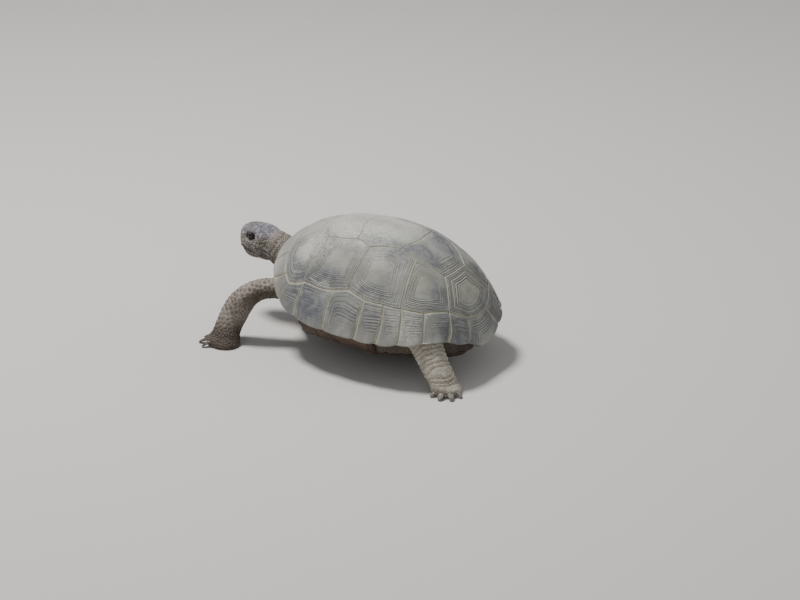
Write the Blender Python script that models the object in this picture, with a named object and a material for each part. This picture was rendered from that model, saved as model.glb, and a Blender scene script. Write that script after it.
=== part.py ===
"""A walking gopher tortoise at life size, as faceted solids.

Metres, +Z up, standing on the floor at z = 0 with its head toward -Y.
The animal's left side is +X.  Nothing moves: every piece is fixed in the
walking pose.  The shell is one smooth dome described by a direction around
the shell and a height from rim to crown; the horny plates, the trunk under
them and the belly plates all follow that dome.
"""
import math

import bmesh
import bpy
import numpy as np
from mathutils import Vector

# ---------------------------------------------------------------- shell form
SHELL_HALF_LENGTH = 0.140       # straight carapace length is 280 mm
SHELL_HALF_WIDTH = 0.1075
CROWN_HEIGHT = 0.1064           # crown above the side rim
PLAN_POWER = 2.37               # 2 is an ellipse, more is squarer
SLOPE_POWER = 0.8816            # how the dome draws in toward the crown
RISE_POWER = 1.546              # how the dome lifts from the rim
REAR_TAPER = -0.0124
SIDE_RIM_LEVEL = 0.054          # side rim above the floor
NOSE_UP = math.radians(2.33)    # the whole shell is carried nose up

# rim height above the side rim, by degrees from the front midline
RIM_DEGREES = (0, 20, 40, 65, 90, 115, 135, 150, 165, 180)
RIM_HEIGHTS = (0.0485, 0.0362, 0.0103, 0.0008, 0.0004,
               0.0006, 0.0049, 0.0087, 0.0002, -0.0108)

PLATE_THICKNESS = 0.0036        # horny plate
PLATE_BULGE = 0.0009            # rise of a plate from its edge to its middle
PLATE_GAP = 0.00035             # half of the seam between two plates
SECTION_DEGREES = 6.5           # spacing of a rim plate's sections
CORE_DEPTH = 0.0063             # bone surface below the plates' outside
LIP_WIDTH = 0.010               # rim plate folded under the shell
LIP_RISE = 0.15                 # slope of that fold toward the middle
TURN = -0.10                    # shell height value at the end of the fold
CLEARANCE = 0.0003

# belly plates: (start, end) along the shell, head to tail
BELLY_BANDS = (("gular", -0.129, -0.100), ("humeral", -0.100, -0.062),
               ("pectoral", -0.062, -0.040), ("abdominal", -0.040, 0.038),
               ("femoral", 0.038, 0.082), ("anal", 0.082, 0.116))
BELLY_LEVEL = -0.0275           # outside of the belly below the side rim
BELLY_THICKNESS = 0.005
BELLY_STATIONS = (-0.129, -0.118, -0.100, -0.086, -0.072, -0.060, 0.030,
                  0.042, 0.060, 0.082, 0.105, 0.116)
BELLY_HALF_WIDTHS = (0.014, 0.024, 0.042, 0.058, 0.073, 0.083, 0.083,
                     0.074, 0.062, 0.052, 0.034, 0.014)
BRIDGE_FROM, BRIDGE_TO = -0.072, 0.030

# ------------------------------------------------------------------ head, tail
EYE_CENTRE = (0.0135, -0.1885, 0.1075)
EYE_RADIUS = 0.0058
MOUTH_BACK = -0.1775
MOUTH_LEVEL_FRONT = 0.0875
MOUTH_LEVEL_BACK = 0.0865

COLOURS = {
    "scute": (0.23, 0.21, 0.18, 1.0),
    "belly_plate": (0.20, 0.14, 0.09, 1.0),
    "skin": (0.22, 0.19, 0.16, 1.0),
    "eye": (0.010, 0.009, 0.008, 1.0),
}
ROUGHNESS = {"scute": 0.62, "belly_plate": 0.55, "skin": 0.75, "eye": 0.12}


def clear_scene():
    for item in list(bpy.data.objects):
        bpy.data.objects.remove(item, do_unlink=True)


def make_material(slot, node):
    material = bpy.data.materials.new(slot + "_" + node)
    material.use_nodes = True
    shader = material.node_tree.nodes["Principled BSDF"]
    shader.inputs["Base Color"].default_value = COLOURS[slot]
    shader.inputs["Roughness"].default_value = ROUGHNESS[slot]
    return material


def make_object(node, slot, points, faces):
    """One closed, outward-facing body from points and faces."""
    mesh = bpy.data.meshes.new(node)
    mesh.from_pydata([tuple(p) for p in points], [], faces)
    tidy_mesh(mesh)
    body = bpy.data.objects.new(node, mesh)
    bpy.context.collection.objects.link(body)
    mesh.materials.append(make_material(slot, node))
    return body


def tidy_mesh(mesh):
    work = bmesh.new()
    work.from_mesh(mesh)
    bmesh.ops.remove_doubles(work, verts=work.verts, dist=1e-6)
    bmesh.ops.dissolve_degenerate(work, edges=work.edges, dist=1e-6)
    bmesh.ops.triangulate(work, faces=work.faces)
    bmesh.ops.recalc_face_normals(work, faces=work.faces)
    if work.calc_volume(signed=True) < 0:
        bmesh.ops.reverse_faces(work, faces=work.faces)
    work.to_mesh(mesh)
    work.free()
    mesh.update()


# ----------------------------------------------------------------- shell dome
def smooth_table(stations, values, where):
    """A smooth curve through the stations, level at both ends."""
    stations = np.asarray(stations, float)
    values = np.asarray(values, float)
    xs = np.concatenate([[2 * stations[0] - stations[1]], stations,
                         [2 * stations[-1] - stations[-2]]])
    ys = np.concatenate([[values[1]], values, [values[-2]]])
    slope = (ys[2:] - ys[:-2]) / (xs[2:] - xs[:-2])
    last = len(stations) - 2
    i = np.clip(np.searchsorted(stations, where, side="right") - 1, 0, last)
    h = stations[i + 1] - stations[i]
    t = (where - stations[i]) / h
    return ((2 * t**3 - 3 * t**2 + 1) * values[i]
            + (t**3 - 2 * t**2 + t) * h * slope[i]
            + (-2 * t**3 + 3 * t**2) * values[i + 1]
            + (t**3 - t**2) * h * slope[i + 1])


def rim_height(around):
    """Rim height for directions in radians from the front midline."""
    degrees = np.degrees(np.arccos(np.clip(np.cos(around), -1, 1)))
    return smooth_table(RIM_DEGREES, RIM_HEIGHTS, degrees)


def dome(around, rise):
    """Point of the shell's outside.

    rise is 0 at the rim and 1 at the crown; below 0 it runs under the rim.
    """
    around = np.asarray(around, float)
    rise = np.asarray(rise, float)
    side, along = np.sin(around), -np.cos(around)
    reach = (np.abs(side / SHELL_HALF_WIDTH)**PLAN_POWER
             + np.abs(along / SHELL_HALF_LENGTH)**PLAN_POWER)
    reach = reach**(-1 / PLAN_POWER)
    angle = np.clip(rise, 0, 1) * math.pi / 2
    draw = np.clip(np.cos(angle), 0, 1)**SLOPE_POWER
    lift = np.sin(angle)**RISE_POWER
    under = np.clip(-rise, 0, None) / -TURN * LIP_WIDTH
    y = reach * along * draw
    x = reach * side * draw * (1 + REAR_TAPER * y / SHELL_HALF_LENGTH)
    x = x - under * side
    y = y - under * along
    rim = rim_height(around)
    z = rim + (CROWN_HEIGHT - rim) * lift + under * LIP_RISE
    return np.stack([x, y, z], -1)


def slope_normal(around, rise):
    """Unit normal of one smooth stretch of the dome."""
    step = 0.012
    high = np.minimum(rise + step, 0.985)
    across = dome(around + step, rise) - dome(around - step, rise)
    up = dome(around, high) - dome(around, rise - step)
    normal = np.cross(across, up)
    length = np.linalg.norm(normal, axis=-1, keepdims=True)
    normal = normal / np.maximum(length, 1e-12)
    crown = (rise > 0.97)[..., None]
    return np.where(crown, np.array([0.0, 0.0, 1.0]), normal)


def dome_normal(around, rise):
    """Outward normal, turned smoothly where the plates fold under the rim."""
    rise = np.asarray(rise, float)
    side = slope_normal(around, np.maximum(rise, 0.06))
    under = slope_normal(around, np.minimum(rise, -0.03))
    share = np.clip((rise + 0.03) / 0.09, 0, 1)[..., None]
    normal = side * share + under * (1 - share)
    return normal / np.linalg.norm(normal, axis=-1, keepdims=True)


def carry(points):
    """From the shell's own frame to the standing animal's frame."""
    points = np.asarray(points, float)
    c, s = math.cos(NOSE_UP), math.sin(NOSE_UP)
    x, y, z = points[..., 0], points[..., 1], points[..., 2]
    return np.stack([x, y * c + z * s, z * c - y * s + SIDE_RIM_LEVEL], -1)


# ------------------------------------------------------------- carapace plates
# Seams, as (degrees from the front midline, rise).  The left side is listed
# and the right side mirrors it.
MARGINAL_TOPS = ((5, 0.43), (23.8, 0.350), (34.8, 0.296), (41, 0.285),
                 (52.3, 0.366), (77.5, 0.400), (105.3, 0.400), (120.8, 0.390),
                 (131.0, 0.366), (143.8, 0.330), (159.0, 0.342), (171.0, 0.295))
MARGINAL_FOOTS = (4, 17.0, 26.5, 40.3, 56.3, 79.0, 101.7, 115.5, 128.2,
                  140.5, 153.5, 165.2)
FRONT_JOINT = (17, 0.405)
V1_SIDE = (22.3, 0.626)
V2_SIDE = (36.0, 0.679)
V2_BACK = (64.3, 0.779)
V3_SIDE = (94.0, 0.746)
V3_BACK = (136.8, 0.766)
V4_SIDE = (148.5, 0.676)
V4_BACK = (166.4, 0.555)
C1_FOOT = MARGINAL_TOPS[4]
C2_FOOT = (90.2, 0.430)
C3_FOOT = MARGINAL_TOPS[8]
C4_FOOT = MARGINAL_TOPS[10]
V5_FOOT = MARGINAL_TOPS[11]


def mirrored(corner):
    return (-corner[0], corner[1])


def on_chart(degrees, rise):
    """Flat chart of the dome: crown at the middle, rim on the unit circle."""
    turn = np.radians(degrees)
    return np.stack([(1 - rise) * np.sin(turn), -(1 - rise) * np.cos(turn)], -1)


def off_chart(flat):
    return np.arctan2(flat[..., 0], -flat[..., 1]), 1 - np.hypot(flat[..., 0],
                                                              flat[..., 1])


def densify(corners, spacing):
    """Extra points along the sides of a closed polygon."""
    out = []
    for here, there in zip(corners, np.roll(corners, -1, axis=0)):
        count = max(1, round(float(np.hypot(*(there - here))) / spacing))
        for i in range(count):
            out.append(here + (there - here) * i / count)
    return np.array(out)


def shield(node, corners, centre, spacing=0.15):
    """A plate of the dome's upper field, drawn on the chart."""
    def outside(flat, lift):
        around, rise = off_chart(flat)
        return dome(around, rise) + dome_normal(around, rise) * lift

    corners = np.array([on_chart(*c) for c in corners])
    outline = densify(corners, spacing)
    centre = on_chart(*centre)
    reach = np.linalg.norm(outside(outline, 0.0) - outside(centre, 0.0), axis=1)
    outline = centre + (outline - centre) * (1 - PLATE_GAP / reach)[:, None]
    count = len(outline)
    fractions = (1.0, 0.62)
    rings = [centre + (outline - centre) * f for f in fractions]
    points = []
    for fraction, ring in zip(fractions, rings):
        points.extend(outside(ring, -PLATE_BULGE * fraction**2))
    points.append(outside(centre, 0.0))
    for ring in rings:
        points.extend(outside(ring, -PLATE_THICKNESS))
    points.append(outside(centre, -PLATE_THICKNESS))
    faces = []
    per_side = len(fractions) * count + 1
    for layer in (0, per_side):
        for i in range(count):
            j = (i + 1) % count
            outer = (layer + i, layer + j, layer + count + j,
                     layer + count + i)
            hub = (layer + count + i, layer + count + j,
                   layer + 2 * count)
            faces.extend([outer, hub] if layer else [outer[::-1], hub[::-1]])
    for i in range(count):
        j = (i + 1) % count
        faces.append((i, j, per_side + j, per_side + i))
    return make_object(node, "scute", carry(points), faces)


def rim_plate(node, foot_a, foot_b, top):
    """A plate that folds under the rim between two foot directions.

    It is a row of sections: the end of the under lip, the rim, two heights
    of the side and the top seam, with the inner face beside them.
    """
    top = np.array(top[::-1], float)
    share = (top[:, 0] - top[0, 0]) / (top[-1, 0] - top[0, 0])
    feet = dome(np.radians([foot_a, foot_b]), np.zeros(2))
    ends = dome(np.radians(top[[0, -1], 0]), top[[0, -1], 1])
    width = np.linalg.norm(feet[1] - feet[0])
    top_width = np.linalg.norm(ends[1] - ends[0])
    height = np.linalg.norm(ends[0] - feet[0])
    full = 1 - PLATE_GAP / height
    count = max(2, round(abs(foot_b - foot_a) / SECTION_DEGREES))
    columns = np.linspace(0, 1, count + 1)
    for corner in share[1:-1]:
        columns[np.abs(columns - corner).argmin()] = corner

    def spot(column, v):
        gap = PLATE_GAP / (width + (top_width - width) * v)
        s = gap + column * (1 - 2 * gap)
        foot = foot_a + (foot_b - foot_a) * s
        turn = foot + (np.interp(s, share, top[:, 0]) - foot) * v
        return math.radians(turn), float(np.interp(s, share, top[:, 1])) * v

    points = []
    for column in columns:
        side = abs(2 * column - 1)
        around, _ = spot(column, 0)
        out = np.array([math.sin(around), -math.cos(around), 0.0])
        up = np.array([0.0, 0.0, PLATE_THICKNESS])
        rim = dome(around, 0.0)
        lip = dome(around, TURN)
        points.extend([lip, rim])
        for v in (0.2, 0.55, full):
            here = spot(column, v)
            sink = PLATE_BULGE * max(side, v)**2
            points.append(dome(*here) - dome_normal(*here) * sink)
        points.append(lip + up)
        points.append(rim - out * PLATE_THICKNESS + up * (1 + LIP_RISE))
        for v in (0.55, full):
            here = spot(column, v)
            points.append(dome(*here) - dome_normal(*here) * PLATE_THICKNESS)
    ring = (0, 1, 2, 3, 4, 8, 7, 6, 5)
    cap = ((0, 1, 6, 5), (1, 2, 6), (2, 3, 7, 6), (3, 4, 8, 7))
    faces = [face for face in cap]
    last = count * 9
    faces.extend(tuple(last + k for k in face[::-1]) for face in cap)
    for c in range(count):
        for k, here in enumerate(ring):
            there = ring[(k + 1) % 9]
            a, b = c * 9, (c + 1) * 9
            faces.append((a + there, a + here, b + here, b + there))
    return make_object(node, "scute", carry(points), faces)


def carapace():
    front = mirrored(FRONT_JOINT)
    nuchal = MARGINAL_TOPS[0]
    shield("vertebral_1", [FRONT_JOINT, V1_SIDE, mirrored(V1_SIDE), front,
                           mirrored(nuchal), nuchal], (0, 0.56))
    shield("vertebral_2", [V1_SIDE, V2_SIDE, V2_BACK, mirrored(V2_BACK),
                           mirrored(V2_SIDE), mirrored(V1_SIDE)], (0, 0.81))
    shield("vertebral_3", [V2_BACK, V3_SIDE, V3_BACK, mirrored(V3_BACK),
                           mirrored(V3_SIDE), mirrored(V2_BACK)], (180, 0.955))
    shield("vertebral_4", [V3_BACK, V4_SIDE, V4_BACK, mirrored(V4_BACK),
                           mirrored(V4_SIDE), mirrored(V3_BACK)], (180, 0.72))
    shield("vertebral_5", [V4_BACK, C4_FOOT, V5_FOOT, mirrored(V5_FOOT),
                           mirrored(C4_FOOT), mirrored(V4_BACK)], (180, 0.43))
    for side, flip in (("left", 1), ("right", -1)):
        costals = (
            ([FRONT_JOINT, MARGINAL_TOPS[1], MARGINAL_TOPS[2],
              MARGINAL_TOPS[3], C1_FOOT, V2_SIDE, V1_SIDE], (35, 0.47)),
            ([C1_FOOT, MARGINAL_TOPS[5], C2_FOOT, V3_SIDE, V2_BACK,
              V2_SIDE], (70, 0.58)),
            ([C2_FOOT, MARGINAL_TOPS[6], MARGINAL_TOPS[7], C3_FOOT,
              V4_SIDE, V3_BACK, V3_SIDE], (113, 0.57)),
            ([C3_FOOT, MARGINAL_TOPS[9], C4_FOOT, V4_BACK,
              V4_SIDE], (148, 0.48)))
        for number, (corners, centre) in enumerate(costals, 1):
            corners = [(d * flip, r) for d, r in corners]
            centre = (centre[0] * flip, centre[1])
            shield(f"costal_{side}_{number}", corners, centre)
        for number in range(1, 12):
            a, b = MARGINAL_TOPS[number - 1], MARGINAL_TOPS[number]
            extra = {1: [FRONT_JOINT], 6: [C2_FOOT]}.get(number, [])
            top = [(d * flip, r) for d, r in [b] + extra + [a]]
            rim_plate(f"marginal_{side}_{number}",
                      MARGINAL_FOOTS[number - 1] * flip,
                      MARGINAL_FOOTS[number] * flip, top)
        cut(bpy.data.objects[f"marginal_{side}_3"],
            bpy.data.objects[f"marginal_{side}_2"], CLEARANCE * 1.5)
    rim_plate("nuchal", -MARGINAL_FOOTS[0], MARGINAL_FOOTS[0],
              [nuchal, mirrored(nuchal)])
    foot = MARGINAL_FOOTS[11]
    rim_plate("supracaudal", foot, 360 - foot,
              [(360 - V5_FOOT[0], V5_FOOT[1]), V5_FOOT])


# --------------------------------------------------------- trunk and belly
def belly_half_width(y):
    return np.interp(y, BELLY_STATIONS, BELLY_HALF_WIDTHS)


def belly_reach(around):
    """Distance from the middle to the belly outline in one direction."""
    steps = np.linspace(0.0, 0.14, 281)
    x = np.abs(np.sin(around)) * steps
    y = -np.cos(around) * steps
    inside = (x <= belly_half_width(y))
    inside &= (y >= BELLY_STATIONS[0]) & (y <= BELLY_STATIONS[-1])
    return float(steps[inside].max())


def bridge_share(around):
    """1 where the bridge joins belly and carapace, 0 at the openings."""
    degrees = math.degrees(math.acos(max(-1, min(1, math.cos(around)))))
    front = np.clip((degrees - 46) / 10, 0, 1)
    back = np.clip((118 - degrees) / 10, 0, 1)
    return float(front * back)


def trunk(around_count=60):
    """The body inside the shell, with its soft front and rear openings."""
    rows = []
    heights = (0.93, 0.82, 0.70, 0.58, 0.46, 0.36, 0.27)
    angles = np.arange(around_count) * 2 * math.pi / around_count
    for rise in heights:
        base = dome(angles, np.full(around_count, rise))
        normal = dome_normal(angles, np.full(around_count, rise))
        rows.append(base - normal * CORE_DEPTH)
    rim = dome(angles, np.zeros(around_count))
    outward = np.stack([np.sin(angles), -np.cos(angles),
                        np.zeros(around_count)], -1)
    share = np.array([bridge_share(a) for a in angles])[:, None]
    inner = np.array([belly_reach(a) for a in angles])[:, None]
    up = np.array([0.0, 0.0, 1.0])
    rows.append(rim - outward * 0.0092 + up * 0.0068)
    rows.append(rim - outward * 0.0112 + up * 0.0070)
    rows.append(rim - outward * (0.0115 + 0.0080 * share)
                + up * (0.0012 + 0.0046 * share))
    wall = rim - outward * (0.024 + 0.0025 * share)
    wall = wall + up * (0.004 - 0.014 * share)
    rows.append(wall)
    floor_level = BELLY_LEVEL + BELLY_THICKNESS + CLEARANCE
    low = outward * (inner - 0.003 - 0.005 * share)
    low[:, 2:] = floor_level + 0.009 - 0.004 * share
    rows.append(low)
    flat = outward * (inner - 0.006 - 0.005 * share)
    flat[:, 2] = floor_level
    rows.append(flat)
    points = [p for row in rows for p in row]
    crown = len(points)
    points.append(np.array([0.0, 0.0, CROWN_HEIGHT - CORE_DEPTH]))
    keel = len(points)
    points.append(np.array([0.0, 0.0, floor_level]))
    faces = []
    for row in range(len(rows) - 1):
        for i in range(around_count):
            j = (i + 1) % around_count
            a, b = row * around_count, (row + 1) * around_count
            faces.append((a + i, a + j, b + j, b + i))
    last = (len(rows) - 1) * around_count
    for i in range(around_count):
        j = (i + 1) % around_count
        faces.append((crown, j, i))
        faces.append((keel, last + i, last + j))
    return make_object("trunk", "skin", carry(points), faces)


def belly_section(y):
    """Half outline of the belly across the body at one station."""
    half = float(belly_half_width(y))
    over = np.clip((y - BRIDGE_FROM) / 0.012, 0, 1)
    over = float(over * np.clip((BRIDGE_TO + 0.012 - y) / 0.012, 0, 1))
    low, top = BELLY_LEVEL, BELLY_LEVEL + BELLY_THICKNESS
    rise = over * 0.0255
    outer = [(0.0, low + 0.0006), (half * 0.55, low), (half * 0.86, low + 0.0006),
             (half, low + 0.003 + 0.10 * rise),
             (half + 0.0075 * over, low + 0.004 + 0.45 * rise),
             (half + 0.0110 * over, low + 0.005 + rise)]
    inner = [(half - 0.001 + 0.0065 * over, low + 0.005 + rise),
             (half - 0.0016 + 0.003 * over, low + 0.0047 + 0.55 * rise),
             (half - 0.005, top - 0.0003), (half * 0.5, top - 0.0003),
             (0.0, top - 0.0003)]
    return outer + inner


def belly():
    for name, start, end in BELLY_BANDS:
        inside = [y for y in BELLY_STATIONS if start < y < end]
        stations = [start + CLEARANCE / 2] + inside + [end - CLEARANCE / 2]
        if name == "abdominal":
            stations[1:-1] = [-0.015, 0.012, 0.030]
        rings = []
        for y in stations:
            half = belly_section(y)
            loop = [(x, y, z) for x, z in half]
            loop += [(-x, y, z) for x, z in half[::-1] if x > 0]
            rings.append(loop)
        points = [p for ring in rings for p in ring]
        size = len(rings[0])
        faces = []
        for r in range(len(rings) - 1):
            for i in range(size):
                j = (i + 1) % size
                faces.append((r * size + i, r * size + j,
                              (r + 1) * size + j, (r + 1) * size + i))
        for r, way in ((0, 1), (len(rings) - 1, -1)):
            base = r * size
            depth = len(half)
            mirror = [0] + [size - k for k in range(1, depth - 1)]
            mirror.append(depth - 1)
            for k in range(5):
                a, b = k, k + 1
                c, d = depth - 2 - k, depth - 1 - k
                quad = [base + a, base + b, base + c, base + d]
                other = [base + mirror[v] for v in (a, b, c, d)]
                faces.append(tuple(dict.fromkeys(quad[::way])))
                faces.append(tuple(dict.fromkeys(other[::-way])))
        make_object(name, "belly_plate", carry(points), faces)


# ------------------------------------------------------------- soft parts
def loft(node, slot, stations, forward, sides=14, squareness=2.0,
         first_normal=None, last_normal=None, last_count=1):
    """A closed body through oval sections.

    Each station is (x, y, z, half_a, half_b): half_a lies toward the top or
    front of the part, half_b across it.  The last last_count sections face
    last_normal.
    """
    centres = np.array([s[:3] for s in stations])
    forward = np.array(forward, float)
    rings = []
    for i, (x, y, z, half_a, half_b) in enumerate(stations):
        before, after = max(i - 1, 0), min(i + 1, len(stations) - 1)
        run = centres[after] - centres[before]
        if i == 0 and first_normal is not None:
            run = np.array(first_normal, float)
        if i >= len(stations) - last_count and last_normal is not None:
            run = np.array(last_normal, float)
        run = run / np.linalg.norm(run)
        top = np.array([0.0, 0.0, 1.0]) + 0.6 * forward
        top = top - run * top.dot(run)
        top = top / np.linalg.norm(top)
        across = np.cross(run, top)
        ring = []
        for k in range(sides):
            t = 2 * math.pi * k / sides
            c, s = math.cos(t), math.sin(t)
            shape = (abs(c)**squareness + abs(s)**squareness)
            shape = shape**(-1 / squareness)
            ring.append(centres[i] + top * (c * half_a * shape)
                        + across * (s * half_b * shape))
        rings.append(ring)
    points = [p for ring in rings for p in ring]
    faces = []
    for r in range(len(rings) - 1):
        for k in range(sides):
            n = (k + 1) % sides
            a, b = r * sides, (r + 1) * sides
            faces.append((a + k, a + n, b + n, b + k))
    faces.append(tuple(range(sides))[::-1])
    last = (len(rings) - 1) * sides
    faces.append(tuple(last + k for k in range(sides)))
    return make_object(node, slot, points, faces)


def cut(body, tool, clearance=0.0, keep="DIFFERENCE"):
    """Cut a body with another one, grown by a clearance."""
    cutter = bpy.data.objects.new("cutter", tool.data.copy())
    bpy.context.collection.objects.link(cutter)
    if clearance:
        mesh = cutter.data
        normals = [v.normal.copy() for v in mesh.vertices]
        for vertex, normal in zip(mesh.vertices, normals):
            vertex.co = vertex.co + normal * clearance
        mesh.update()
    step = body.modifiers.new("cut", "BOOLEAN")
    step.operation = keep
    step.solver = "EXACT"
    step.object = cutter
    bpy.context.view_layer.update()
    graph = bpy.context.evaluated_depsgraph_get()
    result = bpy.data.meshes.new_from_object(body.evaluated_get(graph))
    body.modifiers.clear()
    old = body.data
    slot_material = old.materials[0]
    body.data = result
    result.materials.clear()
    result.materials.append(slot_material)
    bpy.data.meshes.remove(old)
    bpy.data.objects.remove(cutter, do_unlink=True)
    tidy_mesh(result)
    keep_largest(result)


def box_of(body):
    points = np.array([v.co for v in body.data.vertices])
    return points.min(axis=0), points.max(axis=0)


def boxes_meet(one, two, margin):
    (low_a, high_a), (low_b, high_b) = box_of(one), box_of(two)
    return bool(np.all(low_a - margin < high_b)
                and np.all(low_b - margin < high_a))


def keep_largest(mesh):
    """Drop loose scraps left by a cut."""
    work = bmesh.new()
    work.from_mesh(mesh)
    unseen = set(work.verts)
    islands = []
    while unseen:
        stack = [unseen.pop()]
        island = set(stack)
        while stack:
            for edge in stack.pop().link_edges:
                for vertex in edge.verts:
                    if vertex in unseen:
                        unseen.remove(vertex)
                        island.add(vertex)
                        stack.append(vertex)
        islands.append(island)
    biggest = max(islands, key=len)
    scraps = [v for v in work.verts if v not in biggest]
    bmesh.ops.delete(work, geom=scraps, context="VERTS")
    work.to_mesh(mesh)
    work.free()


def block(name, low, high):
    """A plain box used as a cutting tool."""
    points = [(x, y, z) for x in (low[0], high[0]) for y in (low[1], high[1])
              for z in (low[2], high[2])]
    faces = [(0, 1, 3, 2), (4, 6, 7, 5), (0, 4, 5, 1), (2, 3, 7, 6),
             (0, 2, 6, 4), (1, 5, 7, 3)]
    return make_object(name, "skin", points, faces)


def ball(name, slot, centre, radius, rings=8, sides=12):
    points = [(centre[0], centre[1], centre[2] + radius)]
    for r in range(1, rings):
        tilt = math.pi * r / rings
        for k in range(sides):
            turn = 2 * math.pi * k / sides
            points.append((centre[0] + radius * math.sin(tilt) * math.cos(turn),
                           centre[1] + radius * math.sin(tilt) * math.sin(turn),
                           centre[2] + radius * math.cos(tilt)))
    points.append((centre[0], centre[1], centre[2] - radius))
    faces = []
    end = len(points) - 1
    for k in range(sides):
        n = (k + 1) % sides
        faces.append((0, 1 + k, 1 + n))
        faces.append((end, 1 + (rings - 2) * sides + n,
                      1 + (rings - 2) * sides + k))
        for r in range(rings - 2):
            a, b = 1 + r * sides, 1 + (r + 1) * sides
            faces.append((a + k, b + k, b + n, a + n))
    return make_object(name, slot, points, faces)


def head():
    stations = (
        (0, -0.1650, 0.09640, 0.02040, 0.0180),
        (0, -0.1715, 0.09720, 0.02140, 0.0198),
        (0, -0.1790, 0.09765, 0.02195, 0.0204),
        (0, -0.1865, 0.09740, 0.02250, 0.0192),
        (0, -0.1930, 0.09710, 0.02250, 0.0172),
        (0, -0.1990, 0.09710, 0.02160, 0.0147),
        (0, -0.2045, 0.09730, 0.01930, 0.0121),
        (0, -0.2085, 0.09750, 0.01590, 0.0093),
        (0, -0.2110, 0.09755, 0.01145, 0.0060))
    skull = loft("head", "skin", stations, (0, -1, 0), sides=20,
                 squareness=2.35, first_normal=(0, -1, 0),
                 last_normal=(0, -1, 0))
    jaw = bpy.data.objects.new("lower_jaw", skull.data.copy())
    bpy.context.collection.objects.link(jaw)
    jaw.data.materials.clear()
    jaw.data.materials.append(make_material("skin", "lower_jaw"))
    level = (MOUTH_LEVEL_FRONT + MOUTH_LEVEL_BACK) / 2
    half = CLEARANCE / 2
    jaw_zone = block("jaw_zone", (-0.03, -0.22, 0.06),
                     (0.03, MOUTH_BACK + half, level + half))
    mouth_zone = block("mouth_zone", (-0.03, -0.22, 0.06),
                       (0.03, MOUTH_BACK - half, level - half))
    cut(skull, jaw_zone)
    cut(jaw, mouth_zone, keep="INTERSECT")
    bpy.data.objects.remove(jaw_zone, do_unlink=True)
    bpy.data.objects.remove(mouth_zone, do_unlink=True)
    for side, flip in (("left", 1), ("right", -1)):
        centre = (EYE_CENTRE[0] * flip, EYE_CENTRE[1], EYE_CENTRE[2])
        eye = ball("eye_" + side, "eye", centre, EYE_RADIUS)
        socket = ball("socket", "skin", centre, EYE_RADIUS + CLEARANCE)
        cut(skull, socket)
        bpy.data.objects.remove(socket, do_unlink=True)
        eye.data.update()
    neck = loft("neck", "skin", (
        (0, -0.0900, 0.08025, 0.02375, 0.0260),
        (0, -0.1120, 0.08210, 0.02470, 0.0240),
        (0, -0.1300, 0.08500, 0.02360, 0.0215),
        (0, -0.1450, 0.08950, 0.02230, 0.0198),
        (0, -0.1560, 0.09335, 0.02105, 0.0190),
        (0, -0.1647, 0.09630, 0.02010, 0.0178)), (0, -1, 0), sides=16,
        last_normal=(0, -1, 0))
    return neck


def add_claws(foot, base_centre, forward, spread, count, length, level):
    """Pull claws out of the foot's own side faces."""
    forward = Vector(forward).normalized()
    work = bmesh.new()
    work.from_mesh(foot.data)
    bmesh.ops.join_triangles(work, faces=work.faces, angle_face_threshold=1.2,
                             angle_shape_threshold=3.1)
    middle = Vector(base_centre)
    for index in range(count):
        share = 0.0 if count == 1 else index / (count - 1) * 2 - 1
        turn = math.radians(spread) * share
        way = Vector((forward.x * math.cos(turn) - forward.y * math.sin(turn),
                      forward.x * math.sin(turn) + forward.y * math.cos(turn),
                      0.0))
        work.faces.ensure_lookup_table()
        best, score = None, -9.0
        for face in work.faces:
            spot = face.calc_center_median()
            if face.tag or abs(face.normal.z) > 0.8:
                continue
            flat = Vector((spot.x - middle.x, spot.y - middle.y, 0.0))
            value = flat.normalized().dot(way) - abs(spot.z - level) * 25
            if value > score:
                best, score = face, value
        best.tag = True
        spot = best.calc_center_median()
        way = Vector((spot.x - middle.x, spot.y - middle.y, 0.0)).normalized()
        for reach, scale, drop in ((0.45, 0.62, 0.25), (0.55, 0.22, 0.55)):
            made = bmesh.ops.extrude_discrete_faces(work, faces=[best])
            best = made["faces"][0]
            best.tag = True
            spot = best.calc_center_median()
            shift = way * (length * reach)
            for vertex in best.verts:
                vertex.co = spot + (vertex.co - spot) * scale + shift
                vertex.co.z = max(vertex.co.z - level * drop, 0.0009)
    bmesh.ops.triangulate(work, faces=work.faces)
    bmesh.ops.recalc_face_normals(work, faces=work.faces)
    work.to_mesh(foot.data)
    work.free()


def limb(name, upper, lower, forward, claw):
    """Upper leg and foot, split by a thin gap at the joint."""
    joint_way = np.array(lower[0][:3]) - np.array(upper[-1][:3])
    joint_way = joint_way / np.linalg.norm(joint_way)
    leg = loft("leg_" + name, "skin", upper, forward, sides=14,
               last_normal=joint_way)
    foot = loft("foot_" + name, "skin", lower, forward, sides=16,
                first_normal=joint_way, last_normal=(0, 0, -1),
                last_count=3)
    spread, count, length = claw
    centre = (lower[-1][0], lower[-1][1], 0.0)
    add_claws(foot, centre, forward, spread, count, length, 0.0055)
    return leg, foot


def millimetres(rows):
    return tuple(tuple(v / 1000 for v in row) for row in rows)


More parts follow.
